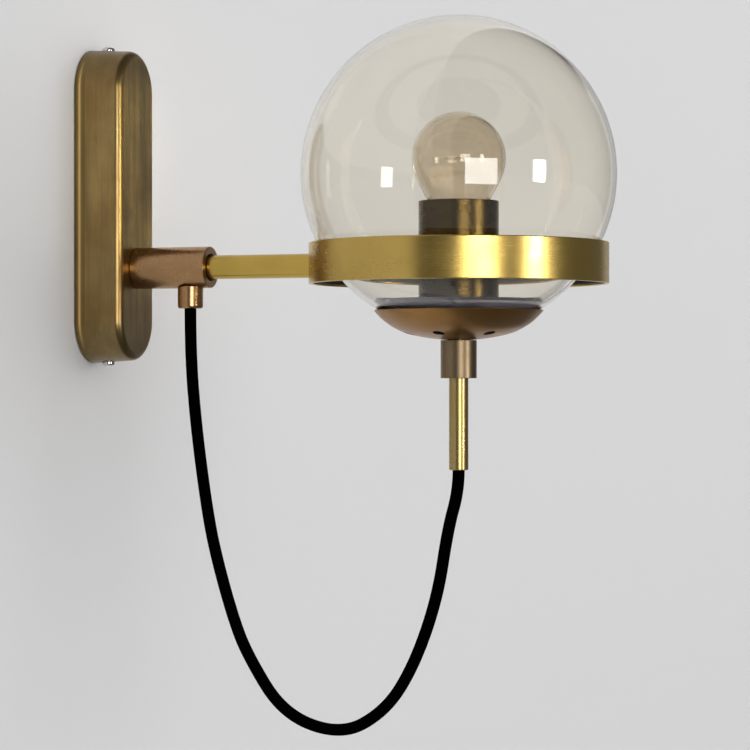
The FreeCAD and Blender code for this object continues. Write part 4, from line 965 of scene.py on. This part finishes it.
def wall_paint(name, shade):
    """Paint which can be looked through from its back, and which is open behind the canopy."""
    recipe, shader, output = paint(name, shade)
    axes = recipe.add("ShaderNodeSeparateXYZ", {"Vector": recipe.placed()}).outputs
    across = recipe.math("LESS_THAN", recipe.absolute(axes["X"]), WALL_OPENING[0])
    along = recipe.math("LESS_THAN", recipe.absolute(axes["Z"]), WALL_OPENING[1])
    behind = recipe.add("ShaderNodeNewGeometry").outputs["Backfacing"]
    recipe.let_through(shader, output, recipe.math("MAXIMUM", behind, recipe.times(across, along)))


def add_lamp(name, kind, power, pointing):
    lamp = bpy.data.objects.new(name, bpy.data.lights.new(name, kind))
    lamp.data.energy = power
    lamp.rotation_euler = pointing.to_track_quat("-Z", "Y").to_euler()
    bpy.context.scene.collection.objects.link(lamp)
    return lamp


def add_lamps():
    for name, (along, power, spread) in EVEN_LAMPS.items():
        lamp = add_lamp(name, "SUN", power, Vector(along))
        lamp.data.angle = math.radians(spread)
        lamp.visible_glossy = False
        lamp.visible_transmission = False
    for name, (direction, distance, width, height, power) in PANELS.items():
        toward = Vector(direction)
        lamp = add_lamp(name, "AREA", power, -toward)
        lamp.data.shape = "RECTANGLE"
        lamp.data.size = width
        lamp.data.size_y = height
        lamp.location = GLOBE + distance * toward
        lamp.visible_camera = False
        lamp.visible_diffuse = False


def add_room():
    """The glow round the stage, dimmer where matt surfaces catch it and dimmest where it is mirrored."""
    world = bpy.data.worlds.new("room")
    bpy.context.scene.world = world
    world.use_nodes = True
    world.node_tree.nodes.clear()
    recipe = Recipe(world.node_tree)
    path = recipe.add("ShaderNodeLightPath").outputs
    mirrored = recipe.stretch(path["Glossy Depth"], 0.0, 1.0)
    direct = recipe.fade(path["Diffuse Depth"], 0.0, 1.0)
    room = recipe.stretch(direct, 0.0, 1.0, ROOM_LIGHT, ROOM_SEEN)
    dimmed = recipe.times(recipe.times(mirrored, direct), ROOM_SEEN - ROOM_MIRRORED)
    strength = recipe.math("SUBTRACT", room, dimmed)
    glow = recipe.add("ShaderNodeBackground", {"Color": (1.0, 1.0, 1.0, 1.0), "Strength": strength})
    recipe.add("ShaderNodeOutputWorld", {"Surface": glow.outputs["Background"]})


def make_stage():
    scene = bpy.context.scene
    look = scene.sconce_studio
    camera = bpy.data.objects.new("camera", bpy.data.cameras.new("camera"))
    camera.data.lens = look.lens
    camera.data.sensor_width = 36.0
    camera.location = look.camera_place
    camera.rotation_euler = (math.radians(90.0), 0.0, look.camera_turn)
    scene.collection.objects.link(camera)
    scene.camera = camera
    scene.view_settings.view_transform = "Standard"

    wall_paint("wall paint", look.wall)
    paint("floor paint", look.floor)
    upright, half = rotation(90.0, "X"), WALL_SIDE / 2.0
    for name, middle, mirrored in (("wall", WALL_EDGE + half, True), ("wall_left", WALL_EDGE - half, False)):
        place = Matrix.Translation((middle, WALL_BEHIND, 0.0)) @ upright
        wall = stage_plane(name, WALL_SIDE, place, bpy.data.materials["wall paint"])
        wall.visible_glossy = mirrored
    level = Matrix.Translation((0.0, -half, look.floor_height))
    floor = stage_plane("floor", WALL_SIDE * 2.0, level, bpy.data.materials["floor paint"])
    floor.visible_glossy = False
    add_lamps()
    add_room()


# ---- add-on -----------------------------------------------------------------------------------------


def operator(word, label, note, *makers):
    """An operator class that runs the given makers once."""
    def execute(self, context):
        for maker in makers:
            maker()
        return {"FINISHED"}
    settings = {
        "__doc__": note, "bl_idname": "sconce." + word, "bl_label": label, "bl_options": {"REGISTER", "UNDO"},
        "execute": execute,
    }
    return type("SCONCE_OT_" + word, (bpy.types.Operator,), settings)


STEPS = [
    operator("stage", "Stage", "Sets up the camera, the wall, the floor and the lamps", make_stage),
    operator("cord", "Cord", "Hangs the cord between the grip and the stem", make_cord),
    operator("canopy", "Canopy", "Makes the wall plate", make_canopy),
    operator("canopy_screws", "Canopy screws", "Makes the screws in the plate's ends", make_canopy_screws),
    operator("hub", "Hub", "Makes the hub", make_hub),
    operator("grip", "Cord grip", "Makes the cord grip", make_grip),
    operator("arm", "Arm", "Makes the arm", make_arm),
    operator("ring", "Support ring", "Makes the ring and its lining", make_ring),
    operator("globe", "Globe", "Makes the glass globe", make_globe),
    operator("bulb", "Bulb", "Makes the bulb's glass and filament", make_bulb, make_filament),
    operator("cup", "Cup", "Makes the cup and its seal", make_cup, make_cup_seal),
    operator("clamps", "Clamps", "Makes the clamps that hold the glass", make_clamps),
    operator("sleeve", "Sleeve", "Makes the lampholder's sleeve", make_sleeve),
    operator("collar", "Collar", "Makes the collar under the cup", make_collar),
    operator("stem", "Stem", "Makes the stem", make_stem),
    operator("inside", "Inside", "Gives the parts inside their finishes", dress_kept),
]


class SCONCE_PT_pieces(bpy.types.Panel):
    """Lists the pieces of the sconce."""

    bl_idname = "SCONCE_PT_pieces"
    bl_label = "Globe wall sconce"
    bl_space_type = "VIEW_3D"
    bl_region_type = "UI"
    bl_category = "Sconce"

    def draw(self, context):
        for step in STEPS:
            self.layout.operator(step.bl_idname)
        scene = context.scene
        for group in (scene.sconce_sizes, scene.sconce_finishes, scene.sconce_studio):
            box = self.layout.box()
            for key in group.__annotations__:
                box.prop(group, key)


CLASSES = [SconceSizes, SconceFinishes, SconceStudio] + STEPS + [SCONCE_PT_pieces]


def register():
    for item in CLASSES:
        bpy.utils.register_class(item)
    bpy.types.Scene.sconce_sizes = PointerProperty(type=SconceSizes)
    bpy.types.Scene.sconce_finishes = PointerProperty(type=SconceFinishes)
    bpy.types.Scene.sconce_studio = PointerProperty(type=SconceStudio)


def unregister():
    del bpy.types.Scene.sconce_studio
    del bpy.types.Scene.sconce_finishes
    del bpy.types.Scene.sconce_sizes
    for item in reversed(CLASSES):
        bpy.utils.unregister_class(item)


def corners(box):
    return [list(box[0]), list(box[1])]


def main():
    register()
    for step in STEPS:
        getattr(bpy.ops.sconce, step.bl_idname.split(".")[1])()


if __name__ == "__main__":
    main()
